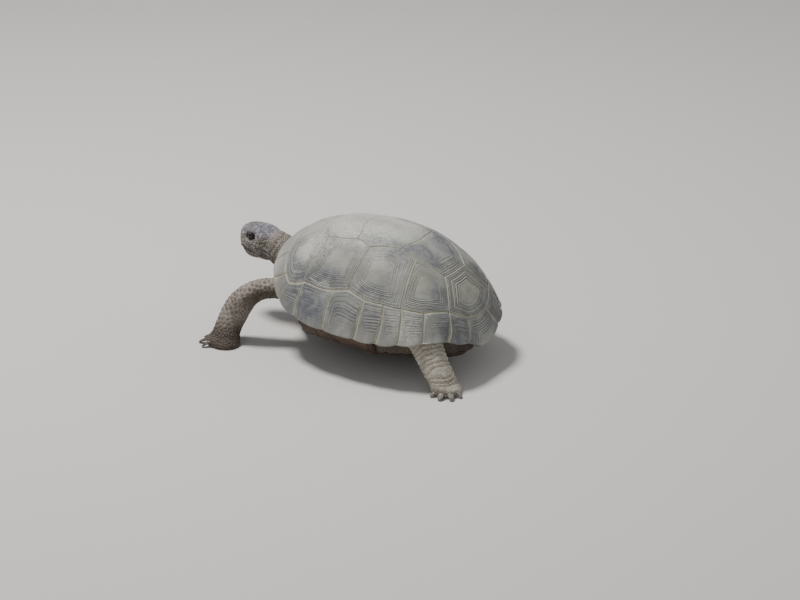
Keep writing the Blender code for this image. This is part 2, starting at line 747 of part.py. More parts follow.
FRONT_LEFT_LEG = millimetres((
    (45, -88, 68, 15.5, 17.0), (56, -112, 69.5, 13.0, 15.0),
    (66, -133, 68, 13.0, 15.5), (74, -148, 60, 14.5, 15.5),
    (79, -159, 47, 16.5, 15.0), (84.0, -165.5, 33.0, 17.0, 14.5)))
FRONT_LEFT_FOOT = millimetres((
    (84.1, -165.7, 32.7, 17.0, 14.5), (91, -168, 21, 16.5, 15.0),
    (98, -168, 11, 18.5, 17.0), (102, -167, 3.5, 20.5, 18.5),
    (103, -166, 0, 17.5, 16.0)))
HIND_LEFT_LEG = millimetres((
    (46, 72, 64, 20.0, 21.0), (57, 89, 53, 19.0, 20.0),
    (65, 104, 38, 17.5, 18.0), (68.4, 114.6, 24, 16.5, 17.0)))
HIND_LEFT_FOOT = millimetres((
    (68.5, 114.9, 23.7, 16.5, 17.0), (69, 123, 12, 17.0, 17.5),
    (69, 128, 4, 18.5, 19.0), (69, 129, 0, 16.0, 16.5)))
FRONT_RIGHT_LEG = millimetres((
    (-46, -86, 68, 15.5, 18.0), (-62, -99, 62, 14.0, 16.5),
    (-76, -104, 50, 15.0, 15.5), (-84.5, -101.2, 34, 16.5, 14.5)))
FRONT_RIGHT_FOOT = millimetres((
    (-84.7, -101.1, 33.7, 16.5, 14.5), (-88, -98, 21, 16.5, 15.0),
    (-90, -97, 11, 18.0, 16.0), (-91, -98, 3.5, 20.0, 18.0),
    (-91, -99, 0, 17.0, 15.5)))
HIND_RIGHT_LEG = millimetres((
    (-46, 84, 62, 20.0, 21.0), (-60, 78, 52, 18.5, 19.0),
    (-71, 73, 38, 17.5, 17.5), (-76.0, 71.0, 24, 16.5, 16.5)))
HIND_RIGHT_FOOT = millimetres((
    (-76.1, 71.0, 23.7, 16.5, 16.5), (-78, 70, 12, 17.0, 17.0),
    (-79, 69, 4, 18.5, 18.5), (-79, 69, 0, 16.0, 16.0)))


def limbs():
    front_claw, hind_claw = (62, 5, 0.0120), (50, 4, 0.0070)
    return [
        limb("front_left", FRONT_LEFT_LEG, FRONT_LEFT_FOOT,
             (-0.13, -0.99, 0), front_claw),
        limb("front_right", FRONT_RIGHT_LEG, FRONT_RIGHT_FOOT,
             (-0.45, -0.89, 0), front_claw),
        limb("hind_left", HIND_LEFT_LEG, HIND_LEFT_FOOT,
             (0.88, 0.47, 0), hind_claw),
        limb("hind_right", HIND_RIGHT_LEG, HIND_RIGHT_FOOT,
             (-0.50, -0.87, 0), hind_claw)]


def tail():
    return loft("tail", "skin", millimetres((
        (0, 92, 52, 15, 16), (0, 108, 49, 12, 13), (-1, 118, 44, 9, 9.5),
        (-3, 125, 36, 5.5, 6), (-5, 127, 29, 2.4, 2.6))), (0, -1, 0), sides=12)


def stand_on_origin():
    """Move everything so the box's bottom centre is the origin."""
    low = np.full(3, 9.0)
    high = np.full(3, -9.0)
    meshes = [o for o in bpy.data.objects if o.type == "MESH"]
    for item in meshes:
        for vertex in item.data.vertices:
            low = np.minimum(low, vertex.co)
            high = np.maximum(high, vertex.co)
    shift = Vector(((low[0] + high[0]) / 2, (low[1] + high[1]) / 2, low[2]))
    for item in meshes:
        for vertex in item.data.vertices:
            vertex.co = vertex.co - shift
        item.data.update()


def main():
    clear_scene()
    carapace()
    belly()
    core = trunk()
    neck = head()
    pieces = [neck, tail()]
    for leg, foot in limbs():
        pieces.append(leg)
    hard = [bpy.data.objects[band[0]] for band in BELLY_BANDS]
    hard.append(bpy.data.objects["nuchal"])
    hard += [bpy.data.objects[f"marginal_{side}_{number}"]
             for side in ("left", "right") for number in (1, 2, 3, 9, 10, 11)]
    for piece in pieces:
        cut(piece, core, CLEARANCE)
        for plate_body in hard:
            if boxes_meet(piece, plate_body, CLEARANCE * 2):
                cut(piece, plate_body, CLEARANCE)
    stand_on_origin()


main()
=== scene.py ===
"""Looks of the walking gopher tortoise: plates, skin, scales, eyes, claws."""

import math

import bmesh
import bpy
import numpy as np
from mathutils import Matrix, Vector
from mathutils.bvhtree import BVHTree
from mathutils.kdtree import KDTree


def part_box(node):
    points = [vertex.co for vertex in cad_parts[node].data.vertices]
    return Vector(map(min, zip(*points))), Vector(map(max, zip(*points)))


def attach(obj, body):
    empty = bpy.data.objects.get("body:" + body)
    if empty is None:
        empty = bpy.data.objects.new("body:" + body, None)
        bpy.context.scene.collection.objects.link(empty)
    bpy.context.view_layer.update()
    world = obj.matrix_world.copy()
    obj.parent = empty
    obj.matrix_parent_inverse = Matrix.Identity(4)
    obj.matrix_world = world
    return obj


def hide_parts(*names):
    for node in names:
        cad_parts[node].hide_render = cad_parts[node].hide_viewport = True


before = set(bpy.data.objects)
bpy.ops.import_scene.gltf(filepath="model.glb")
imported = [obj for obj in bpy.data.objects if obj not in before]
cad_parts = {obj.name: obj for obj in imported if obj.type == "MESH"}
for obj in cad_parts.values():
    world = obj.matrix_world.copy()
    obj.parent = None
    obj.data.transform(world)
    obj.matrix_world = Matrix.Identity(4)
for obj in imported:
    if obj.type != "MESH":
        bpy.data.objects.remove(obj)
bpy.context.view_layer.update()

# ---------------------------------------------------------- the solids' dome
SHELL_HALF_LENGTH = 0.140
SHELL_HALF_WIDTH = 0.1075
CROWN_HEIGHT = 0.1064
PLAN_POWER = 2.37
SLOPE_POWER = 0.8816
RISE_POWER = 1.546
REAR_TAPER = -0.0124
SIDE_RIM_LEVEL = 0.054
NOSE_UP = math.radians(2.33)
RIM_DEGREES = (0, 20, 40, 65, 90, 115, 135, 150, 165, 180)
RIM_HEIGHTS = (0.0485, 0.0362, 0.0103, 0.0008, 0.0004,
               0.0006, 0.0049, 0.0087, 0.0002, -0.0108)
LIP_WIDTH = 0.010
LIP_RISE = 0.15
LIP_END = -0.10
EYE_CENTRE = (0.0135, -0.1885, 0.1075)
# how much a plate's middle stands over its edge, and its gap to the seam
PLATE_BULGE = 0.0009
PLATE_GAP = 0.00030
# how deep its walls and its inner face reach, and that face's share
PLATE_DEPTH, INNER_DEPTH, RIM_INNER_DEPTH = 0.0030, 0.0034, 0.0032
INNER_SHARE = 0.62
# growth rings, the steps between them and the bend of the edge
RING_HEIGHT, STEP_HEIGHT = 0.00075, 0.00025
EDGE_DROP, EDGE_WIDTH = 0.0006, 0.0011
# spacing of the plates' points, and where the rings of a rim plate start
OUTLINE_STEP, SHIELD_ROW = 0.0105, 0.00052
RIM_COLUMN, RIM_ROW = 0.0011, 0.00065
LIP_ROWS = (-1.0, -0.85, -0.65, -0.45, -0.3, -0.2, -0.12, -0.05)
RIM_AREOLA = 0.76
UP = np.array([0.0, 0.0, 1.0])

# the solids stand on their box's centre, so one known point gives the shift
eye_low, eye_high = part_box("eye_left")
SHIFT = (np.array(eye_low) + np.array(eye_high)) / 2 - np.array(EYE_CENTRE)


# --------------------------------------------------------------- small tools
def hashed(cells, seed):
    """A repeatable number in 0..1 for whole-number cells."""
    value = (cells[..., 0] * 73856093) ^ (cells[..., 1] * 19349663)
    value = value ^ (cells[..., 2] * 83492791) ^ (seed * 2654435761)
    value = (value ^ (value >> 13)) * 1274126177
    value = value ^ (value >> 16)
    return (value & 0xFFFFF) / 0xFFFFF


def noise(points, size, seed=0):
    """Smooth noise in -1..1 whose patches are about size wide."""
    points = np.asarray(points, float) / size
    base = np.floor(points).astype(np.int64)
    part = points - base
    part = part * part * (3 - 2 * part)
    total = 0.0
    for dx in (0, 1):
        for dy in (0, 1):
            for dz in (0, 1):
                corner = base + np.array([dx, dy, dz])
                weight = (np.abs(1 - dx - part[..., 0])
                          * np.abs(1 - dy - part[..., 1])
                          * np.abs(1 - dz - part[..., 2]))
                total = total + weight * hashed(corner, seed)
    return total * 2 - 1


def unit(rows):
    """Each row at length 1."""
    length = np.linalg.norm(rows, axis=-1, keepdims=True)
    return rows / np.maximum(length, 1e-15)


def run_along(points):
    """Distance from the first point to each point along their line."""
    steps = np.linalg.norm(np.diff(points, axis=0), axis=1)
    return np.concatenate([[0], np.cumsum(steps)])


def summed(index, rows, count):
    """Adds up the rows that carry the same index."""
    return np.stack([np.bincount(index, rows[:, k], count)
                     for k in range(3)], -1)


def smooth(low, high, value):
    """0 below low, 1 above high, a soft step between."""
    t = np.clip((value - low) / (high - low), 0, 1)
    return t * t * (3 - 2 * t)


def bell(*offsets):
    """1 in the middle, fading out as the offsets pass 1."""
    return np.exp(-sum(offset**2 for offset in offsets))


def fold(turns, bluntness):
    """Swells between sharp valleys at the whole numbers, 0 to 1."""
    return np.abs(np.sin(math.pi * turns))**bluntness


def seed_of(name):
    """A piece's own start for its noise."""
    return sum(ord(letter) for letter in name)


def smooth_table(stations, values, where):
    """A smooth curve through the stations, level at both ends."""
    stations = np.asarray(stations, float)
    values = np.asarray(values, float)
    xs = np.concatenate([[2 * stations[0] - stations[1]], stations,
                         [2 * stations[-1] - stations[-2]]])
    ys = np.concatenate([[values[1]], values, [values[-2]]])
    slope = (ys[2:] - ys[:-2]) / (xs[2:] - xs[:-2])
    last = len(stations) - 2
    i = np.clip(np.searchsorted(stations, where, side="right") - 1, 0, last)
    h = stations[i + 1] - stations[i]
    t = (where - stations[i]) / h
    return ((2 * t**3 - 3 * t**2 + 1) * values[i]
            + (t**3 - 2 * t**2 + t) * h * slope[i]
            + (-2 * t**3 + 3 * t**2) * values[i + 1]
            + (t**3 - t**2) * h * slope[i + 1])


def degrees_off_front(around):
    """Angle from the front, the same on both sides."""
    return np.degrees(np.arccos(np.clip(np.cos(around), -1, 1)))


def rim_height(around):
    """Height of the shell's lower edge."""
    degrees = degrees_off_front(around)
    return smooth_table(RIM_DEGREES, RIM_HEIGHTS, degrees)


def dome(around, rise):
    """Point of the shell's outside, rise 0 at the rim and 1 at the crown."""
    around = np.asarray(around, float)
    rise = np.asarray(rise, float)
    side, along = np.sin(around), -np.cos(around)
    reach = (np.abs(side / SHELL_HALF_WIDTH)**PLAN_POWER
             + np.abs(along / SHELL_HALF_LENGTH)**PLAN_POWER)
    reach = reach**(-1 / PLAN_POWER)
    angle = np.clip(rise, 0, 1) * math.pi / 2
    draw = np.clip(np.cos(angle), 0, 1)**SLOPE_POWER
    lift = np.sin(angle)**RISE_POWER
    under = np.clip(-rise, 0, None) / -LIP_END * LIP_WIDTH
    y = reach * along * draw
    x = reach * side * draw * (1 + REAR_TAPER * y / SHELL_HALF_LENGTH)
    x = x - under * side
    y = y - under * along
    rim = rim_height(around)
    z = rim + (CROWN_HEIGHT - rim) * lift + under * LIP_RISE
    return np.stack([x, y, z], -1)


def slope_normal(around, rise):
    """Outward way of the dome above the rim."""
    step, crown_rise, last_rise = 0.012, 0.97, 0.985
    high = np.minimum(rise + step, last_rise)
    across = dome(around + step, rise) - dome(around - step, rise)
    up = dome(around, high) - dome(around, rise - step)
    normal = unit(np.cross(across, up))
    crown = (rise > crown_rise)[..., None]
    return np.where(crown, UP, normal)


def dome_normal(around, rise):
    """Outward way of the dome, turning softly over the rim."""
    rise = np.asarray(rise, float)
    side = slope_normal(around, np.maximum(rise, 0.06))
    under = slope_normal(around, np.minimum(rise, -0.03))
    share = np.clip((rise + 0.03) / 0.09, 0, 1)[..., None]
    return unit(side * share + under * (1 - share))


def outward_way(around):
    """Level way from the middle toward each direction."""
    return np.stack([np.sin(around), -np.cos(around),
                     np.zeros_like(around)], -1)


def carry(points):
    """From the shell's own frame to the standing animal's place."""
    points = np.asarray(points, float)
    c, s = math.cos(NOSE_UP), math.sin(NOSE_UP)
    x, y, z = points[..., 0], points[..., 1], points[..., 2]
    moved = np.stack([x, y * c + z * s, z * c - y * s + SIDE_RIM_LEVEL], -1)
    return moved + SHIFT


def on_chart(degrees, rise):
    """The shell as a flat disc: crown in the middle, rim at 1."""
    turn = np.radians(degrees)
    return np.stack([(1 - rise) * np.sin(turn), -(1 - rise) * np.cos(turn)], -1)


def off_chart(flat):
    """Direction and rise for places of that disc."""
    x, y = flat[..., 0], flat[..., 1]
    return np.arctan2(x, -y), 1 - np.hypot(x, y)


# ------------------------------------------------------------- mesh building
def make_piece(name, points, faces, nodes, values=None, materials=()):
    """A mesh object riding on the one body and standing for CAD nodes."""
    mesh = bpy.data.meshes.new(name)
    mesh.from_pydata(np.asarray(points, float).tolist(), [], faces)
    work = bmesh.new()
    work.from_mesh(mesh)
    bmesh.ops.recalc_face_normals(work, faces=work.faces)
    if work.calc_volume(signed=True) < 0:
        bmesh.ops.reverse_faces(work, faces=work.faces)
    work.to_mesh(mesh)
    work.free()
    for key, numbers in (values or {}).items():
        layer = mesh.attributes.new(key, "FLOAT", "POINT")
        layer.data.foreach_set("value", np.asarray(numbers, np.float32))
    for material in materials:
        mesh.materials.append(material)
    mesh.shade_smooth()
    mesh.update()
    piece = bpy.data.objects.new(name, mesh)
    bpy.context.collection.objects.link(piece)
    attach(piece, "root")
    if nodes:
        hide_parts(*nodes)
    return piece


def grid_faces(rows, columns, start=0, closed=False):
    """Quads over a grid of points laid out row by row."""
    span = columns if closed else columns - 1
    r, c = np.meshgrid(np.arange(rows - 1), np.arange(span), indexing="ij")
    n = (c + 1) % columns
    a = start + r * columns
    b = a + columns
    return np.stack([a + c, a + n, b + n, b + c], -1).reshape(-1, 4).tolist()


def reverse(faces):
    """The same faces seen from the other side."""
    return [face[::-1] for face in faces]


def fan(hub, ring):
    """Triangles from a hub to a closed ring of points."""
    return [(ring[i], ring[i - 1], hub) for i in range(len(ring))]


def band(first, second):
    """Quads between two closed rings of points."""
    return [(first[i], first[i - 1], second[i - 1], second[i])
            for i in range(len(first))]


# -------------------------------------------------------------- shell seams
MARGINAL_TOPS = ((5, 0.43), (23.8, 0.350), (34.8, 0.296), (41, 0.285),
                 (52.3, 0.366), (77.5, 0.400), (105.3, 0.400), (120.8, 0.390),
                 (131.0, 0.366), (143.8, 0.330), (159.0, 0.342), (171.0, 0.295))
MARGINAL_FOOTS = (4, 17.0, 26.5, 40.3, 56.3, 79.0, 101.7, 115.5, 128.2,
                  140.5, 153.5, 165.2)
FRONT_JOINT = (17, 0.405)
V1_SIDE = (22.3, 0.626)
V2_SIDE = (36.0, 0.679)
V2_BACK = (64.3, 0.779)
V3_SIDE = (94.0, 0.746)
V3_BACK = (136.8, 0.766)
V4_SIDE = (148.5, 0.676)
V4_BACK = (166.4, 0.555)
C1_FOOT = MARGINAL_TOPS[4]
C2_FOOT = (90.2, 0.430)
C3_FOOT = MARGINAL_TOPS[8]
C4_FOOT = MARGINAL_TOPS[10]
V5_FOOT = MARGINAL_TOPS[11]
HIGHEST_FOOT = 0.435
# degrees around, rise, half length around, half height, amount
PATCHES = {
    "slate": (
        (68, 0.49, 0.15, 0.070, 0.85), (72, 0.66, 0.07, 0.04, 0.5),
        (92, 0.83, 0.12, 0.06, 0.9), (152, 0.76, 0.11, 0.06, 1.0),
        (108, 0.47, 0.17, 0.05, 0.7), (156, 0.46, 0.07, 0.07, 0.9),
        (128, 0.72, 0.05, 0.07, 0.5), (41, 0.41, 0.16, 0.05, 0.6),
        (166, 0.66, 0.05, 0.09, 0.7), (48, 0.62, 0.06, 0.10, 0.5),
        # these three lines: slate patches low on the marginals, partly slate horn and
        # partly painted shade on the marginals' shaded sides
        (66, 0.20, 0.24, 0.16, 0.8), (110, 0.26, 0.22, 0.08, 0.4),
        (158, 0.16, 0.14, 0.13, 0.9), (85, 0.30, 0.22, 0.06, 0.5),
        (50, 0.20, 0.24, 0.22, 1.0), (164, 0.14, 0.16, 0.18, 1.0),
        (31, 0.68, 0.07, 0.03, 0.8), (24, 0.60, 0.03, 0.05, 0.4)),
    "tan": (
        (146, 0.53, 0.09, 0.06, 0.9), (172, 0.44, 0.09, 0.06, 1.0),
        (112, 0.60, 0.12, 0.07, 0.4), (78, 0.62, 0.13, 0.08, 0.5),
        (163, 0.20, 0.12, 0.07, 0.5), (40, 0.14, 0.20, 0.10, 0.5)),
    "pale": (
        (33, 0.49, 0.05, 0.035, 1.0), (29, 0.56, 0.03, 0.03, 0.7),
        (66, 0.41, 0.12, 0.014, 0.9), (76, 0.735, 0.035, 0.02, 0.7),
        # the pale patches at rise 0.92 on this line and 0.86 three lines down are partly
        # worn horn and partly painted highlight on the lit top of the dome
        (20, 0.72, 0.30, 0.12, 0.5), (120, 0.92, 0.20, 0.10, 0.6),
        (20, 0.12, 0.16, 0.12, 0.5), (94, 0.47, 0.05, 0.05, 0.4),
        (35, 0.55, 0.12, 0.12, 0.9), (134, 0.18, 0.10, 0.16, 1.0),
        (110, 0.66, 0.10, 0.06, 0.4), (60, 0.86, 0.20, 0.10, 0.6))}
NOTCH_DEPTHS = (0.0002, 0.0003, 0.0004, 0.0006, 0.0008, 0.0010, 0.0012,
                0.0016, 0.0020, 0.0020, 0.0018, 0.0014)
FLARES = (0.0, 0.0, 0.0, 0.0, 0.0, 0.0004, 0.0008, 0.0012, 0.0016, 0.0020,
          0.0022, 0.0012)


def mirrored(corner):
    """The same corner on the other side."""
    return (-corner[0], corner[1])


def rim_shift(around):
    """How far the free edge stands out: scallops with notches at the seams."""
    degrees = degrees_off_front(around)
    out = np.interp(degrees, MARGINAL_FOOTS, FLARES)
    for foot, depth in zip(MARGINAL_FOOTS, NOTCH_DEPTHS):
        out = out - depth * np.exp(-np.abs((degrees - foot) / 1.7)**1.3)
    return out


def warp(around, rise):
    """Lets the seams wander a little, alike for every plate beside them."""
    flat = on_chart(np.degrees(around), rise)
    spots = np.concatenate([flat, np.zeros(flat.shape[:-1] + (1,))], -1)
    sway = np.stack([noise(spots, 0.16, 11), noise(spots, 0.16, 12)], -1)
    fine = np.stack([noise(spots, 0.035, 13), noise(spots, 0.035, 14)], -1)
    fade = smooth(0.06, 0.30, rise)[..., None]
    flat = flat + (sway * 0.010 + fine * 0.0022) * fade
    new_around, new_rise = off_chart(flat)
    low = rise <= 0.06
    return np.where(low, around, new_around), np.where(low, rise, new_rise)


def shell_point(around, rise, lift):
    """Shell surface with scalloped rim, lifted along its normal."""
    around = np.asarray(around, float)
    rise = np.asarray(rise, float)
    around, rise = warp(around, rise)
    points = dome(around, rise)
    points = points + dome_normal(around, rise) * np.asarray(lift)[..., None]
    near = np.where(rise < 0, 1.0, bell(rise / 0.085))
    out = rim_shift(around) * near
    return carry(points + outward_way(around) * out[..., None])


# ------------------------------------------------------------ camera, studio
CAMERA_AZIMUTH, CAMERA_ELEVATION = math.radians(122.9346), math.radians(23.3583)
CAMERA_LENS = 112.72
CAMERA_DISTANCE = 3.0
CAMERA_ASIDE, CAMERA_ABOVE = 0.016085, 0.006116


def aimed(thing, way):
    """Turns a camera or a light toward a way and puts it in the scene."""
    thing.rotation_mode = "QUATERNION"
    thing.rotation_quaternion = way.to_track_quat("-Z", "Y")
    bpy.context.collection.objects.link(thing)


def make_camera():
    """The photograph's view, worked out from the shell's outline."""
    azimuth, elevation = CAMERA_AZIMUTH, CAMERA_ELEVATION
    back = Vector((math.sin(azimuth) * math.cos(elevation),
                   -math.cos(azimuth) * math.cos(elevation),
                   math.sin(elevation)))
    right = Vector((math.cos(azimuth), math.sin(azimuth), 0.0))
    up = back.cross(right)
    data = bpy.data.cameras.new("camera")
    data.lens = CAMERA_LENS
    camera = bpy.data.objects.new("camera", data)
    shell_middle = Vector((0.0, 0.0, SIDE_RIM_LEVEL)) + Vector(SHIFT)
    camera.location = shell_middle + back * CAMERA_DISTANCE + right * CAMERA_ASIDE
    camera.location = camera.location + up * CAMERA_ABOVE
    aimed(camera, -back)
    bpy.context.scene.camera = camera


def area_light(name, spot, size, power, colour):
    """A round soft light that looks at the animal's middle."""
    data = bpy.data.lights.new(name, "AREA")
    data.shape = "DISK"
    data.size = size
    data.energy = power
    data.color = colour
    light = bpy.data.objects.new(name, data)
    light.location = spot
    aimed(light, Vector((0, 0, 0.06)) - Vector(spot))


def make_studio():
    """A plain pale floor, a soft sky and three soft lights."""
    mesh = bpy.data.meshes.new("floor")
    reach = 6.0
    corners = [(-reach, -reach, 0), (reach, -reach, 0), (reach, reach, 0),
               (-reach, reach, 0)]
    mesh.from_pydata(corners, [], [(0, 1, 2, 3)])
    material = bpy.data.materials.new("floor")
    material.use_nodes = True
    shader = material.node_tree.nodes["Principled BSDF"]
    shader.inputs["Base Color"].default_value = (0.62, 0.60, 0.57, 1)
    shader.inputs["Roughness"].default_value = 0.9
    mesh.materials.append(material)
    floor = bpy.data.objects.new("floor", mesh)
    bpy.context.collection.objects.link(floor)
    world = bpy.data.worlds.new("studio")
    world.use_nodes = True
    sky = world.node_tree.nodes["Background"]
    sky.inputs["Color"].default_value = (0.92, 0.95, 1.0, 1)
    sky.inputs["Strength"].default_value = 0.34
    bpy.context.scene.world = world
    area_light("key", (0.15, -0.75, 2.2), 0.55, 64, (1.0, 0.98, 0.95))
    area_light("fill", (2.2, 0.4, 1.2), 1.6, 4, (0.94, 0.97, 1.0))
    area_light("rim", (-1.5, 1.6, 1.3), 1.2, 6, (0.96, 0.98, 1.0))


# ------------------------------------------------------------------- plates
def rolled_edge(depth):
    """How far a plate's edge bends down, by the distance from its seam."""
    return -EDGE_DROP * (1 - smooth(0.0, EDGE_WIDTH, depth))


def ring_relief(share, depth, spots, strength, count, seed):
    """Growth rings: height along a plate whose areola is at share 0.

    share is 0 at the areola and 1 at the seam, depth is the distance from
    the seam in metres. Also returns the ring count there and its clearness.
    """
    phase = count * share**1.6 + 0.16 * noise(spots, 0.016, seed)
    phase = phase + 0.07 * noise(spots, 0.004, seed + 3)
    clear = smooth(0.30, 0.62, share)
    clear = clear * (1.05 + 0.9 * noise(spots, 0.03, seed + 5))
    height = spots[..., 2] - SHIFT[2]
    worn = 0.35 + 0.65 * smooth(0.155, 0.122, height)
    clear = strength * worn * np.clip(clear, 0.04, 1)
    level = np.abs(np.sin(math.pi * phase * 0.5 + seed))
    relief = clear * ((fold(phase, 0.5) - 0.8) * RING_HEIGHT
                      + (level - 0.5) * STEP_HEIGHT)
    relief = relief * smooth(0.0, 0.0012, depth)
    swell = 0.00055 * noise(spots, 0.022, seed + 9)
    swell = swell + 0.00020 * noise(spots, 0.006, seed + 10)
    swell = swell + 0.00007 * noise(spots, 0.0022, seed + 11)
    swell = swell * smooth(0, 0.003, depth)
    return relief + rolled_edge(depth) + swell, phase, clear


def finish_plate(name, seed, points, faces, boundary, walls, inner, hub,
                 values):
    """Closes a plate: its top grid, a wall and a plain inner face."""
    start, count = len(points), len(boundary)
    wall = range(start, start + count)
    ring = range(start + count, start + 2 * count)
    points = np.concatenate([points, walls, inner, [hub]])
    faces = faces + band(boundary, wall) + band(wall, ring)
    faces += fan(len(points) - 1, ring)
    padded = {"tone": np.full(len(points), seed * 37 % 17 / 17)}
    for key, numbers in values.items():
        edge = numbers[boundary]
        padded[key] = np.concatenate([numbers, edge, edge, [edge.mean()]])
    make_piece("plate_" + name, points, faces, [name], padded,
               [scute_material])


def outline_of(corners):
    """Chart points along a plate's edge, level edges following the rim."""
    corners = np.array(corners, float)
    out = []
    for here, there in zip(corners, np.roll(corners, -1, axis=0)):
        flat, onto = on_chart(*here), on_chart(*there)
        count = max(2, round(float(np.hypot(*(onto - flat))) / OUTLINE_STEP))
        step = np.arange(count)[:, None] / count
        if max(here[1], there[1]) <= HIGHEST_FOOT:
            swing = (there[0] - here[0] + 180) % 360 - 180
            rows = here + np.array([swing, there[1] - here[1]]) * step
            out.append(on_chart(rows[:, 0], rows[:, 1]))
        else:
            out.append(flat + (onto - flat) * step)
    return np.concatenate(out)


def marks_at(around, rise, spots):
    """Slate, tan and pale patches at places of the shell; the low slate ones are partly
    painted shade, the pale ones high on the crown partly painted highlight.
    """
    flat = on_chart(degrees_off_front(around), rise)
    sway = np.stack([noise(spots, 0.012, 61), noise(spots, 0.012, 62)], -1)
    flat = flat + sway * 0.030
    marks = {}
    for kind, patches in PATCHES.items():
        total = 0.0
        for degrees, level, long, high, amount in patches:
            x, y = np.moveaxis(flat - on_chart(degrees, level), -1, 0)
            c, s = math.cos(math.radians(degrees)), math.sin(math.radians(degrees))
            total = total + amount * bell((x * s - y * c) / high,
                                          (x * c + y * s) / long)
        marks[kind] = np.clip(total, 0, 1)
    return marks


def shield(name, corners, centre, rings, strength):
    """A plate of the dome's upper field on a grid that follows its rings."""
    outline = outline_of(corners)
    centre = on_chart(*centre)
    count, seed = len(outline), seed_of(name)
    edge = shell_point(*off_chart(outline), np.zeros(count))
    middle = shell_point(*off_chart(centre[None]), np.zeros(1))[0]
    reach = np.linalg.norm(edge - middle, axis=1)
    outline = centre + (outline - centre) * (1 - PLATE_GAP / reach)[:, None]
    steps = int(np.clip(reach.max() / SHIELD_ROW, 24, 96))
    levels = (np.arange(1, steps + 1) / steps)**0.82
    flat = centre + (outline - centre)[None] * levels[:, None, None]
    share = np.repeat(levels[:, None], count, 1)
    depth = (1 - share) * reach[None]
    around, rise = off_chart(flat)
    spots = shell_point(around, rise, np.zeros_like(rise))
    relief, phase, clear = ring_relief(share, depth, spots, strength, rings,
                                       seed)

    def with_hub(grid):
        """The grid's numbers and one for the middle point."""
        return np.append(grid.ravel(), grid[0].mean())

    def inside(chart, drop):
        """Points under the shell's outside."""
        return shell_point(*off_chart(chart), np.full(len(chart), -drop))

    lift = relief - PLATE_BULGE * share**2
    points = shell_point(around, rise, lift).reshape(-1, 3)
    points = np.concatenate([points, inside(centre[None], -lift[0].mean())])
    faces = grid_faces(steps, count, closed=True)
    faces += fan(steps * count, range(count))
    boundary = list(range((steps - 1) * count, steps * count))
    inner = inside(centre + (outline - centre) * INNER_SHARE, INNER_DEPTH)
    values = {"phase": with_hub(phase), "clear": with_hub(clear),
              "seam": np.append(depth.ravel(), reach.mean()) * 1000,
              "edge": np.zeros(len(points))}
    for key, value in marks_at(around, rise, spots).items():
        values[key] = with_hub(value)
    finish_plate(name, seed, points, faces, boundary,
                 inside(outline, PLATE_DEPTH), inner,
                 inside(centre[None], INNER_DEPTH)[0], values)


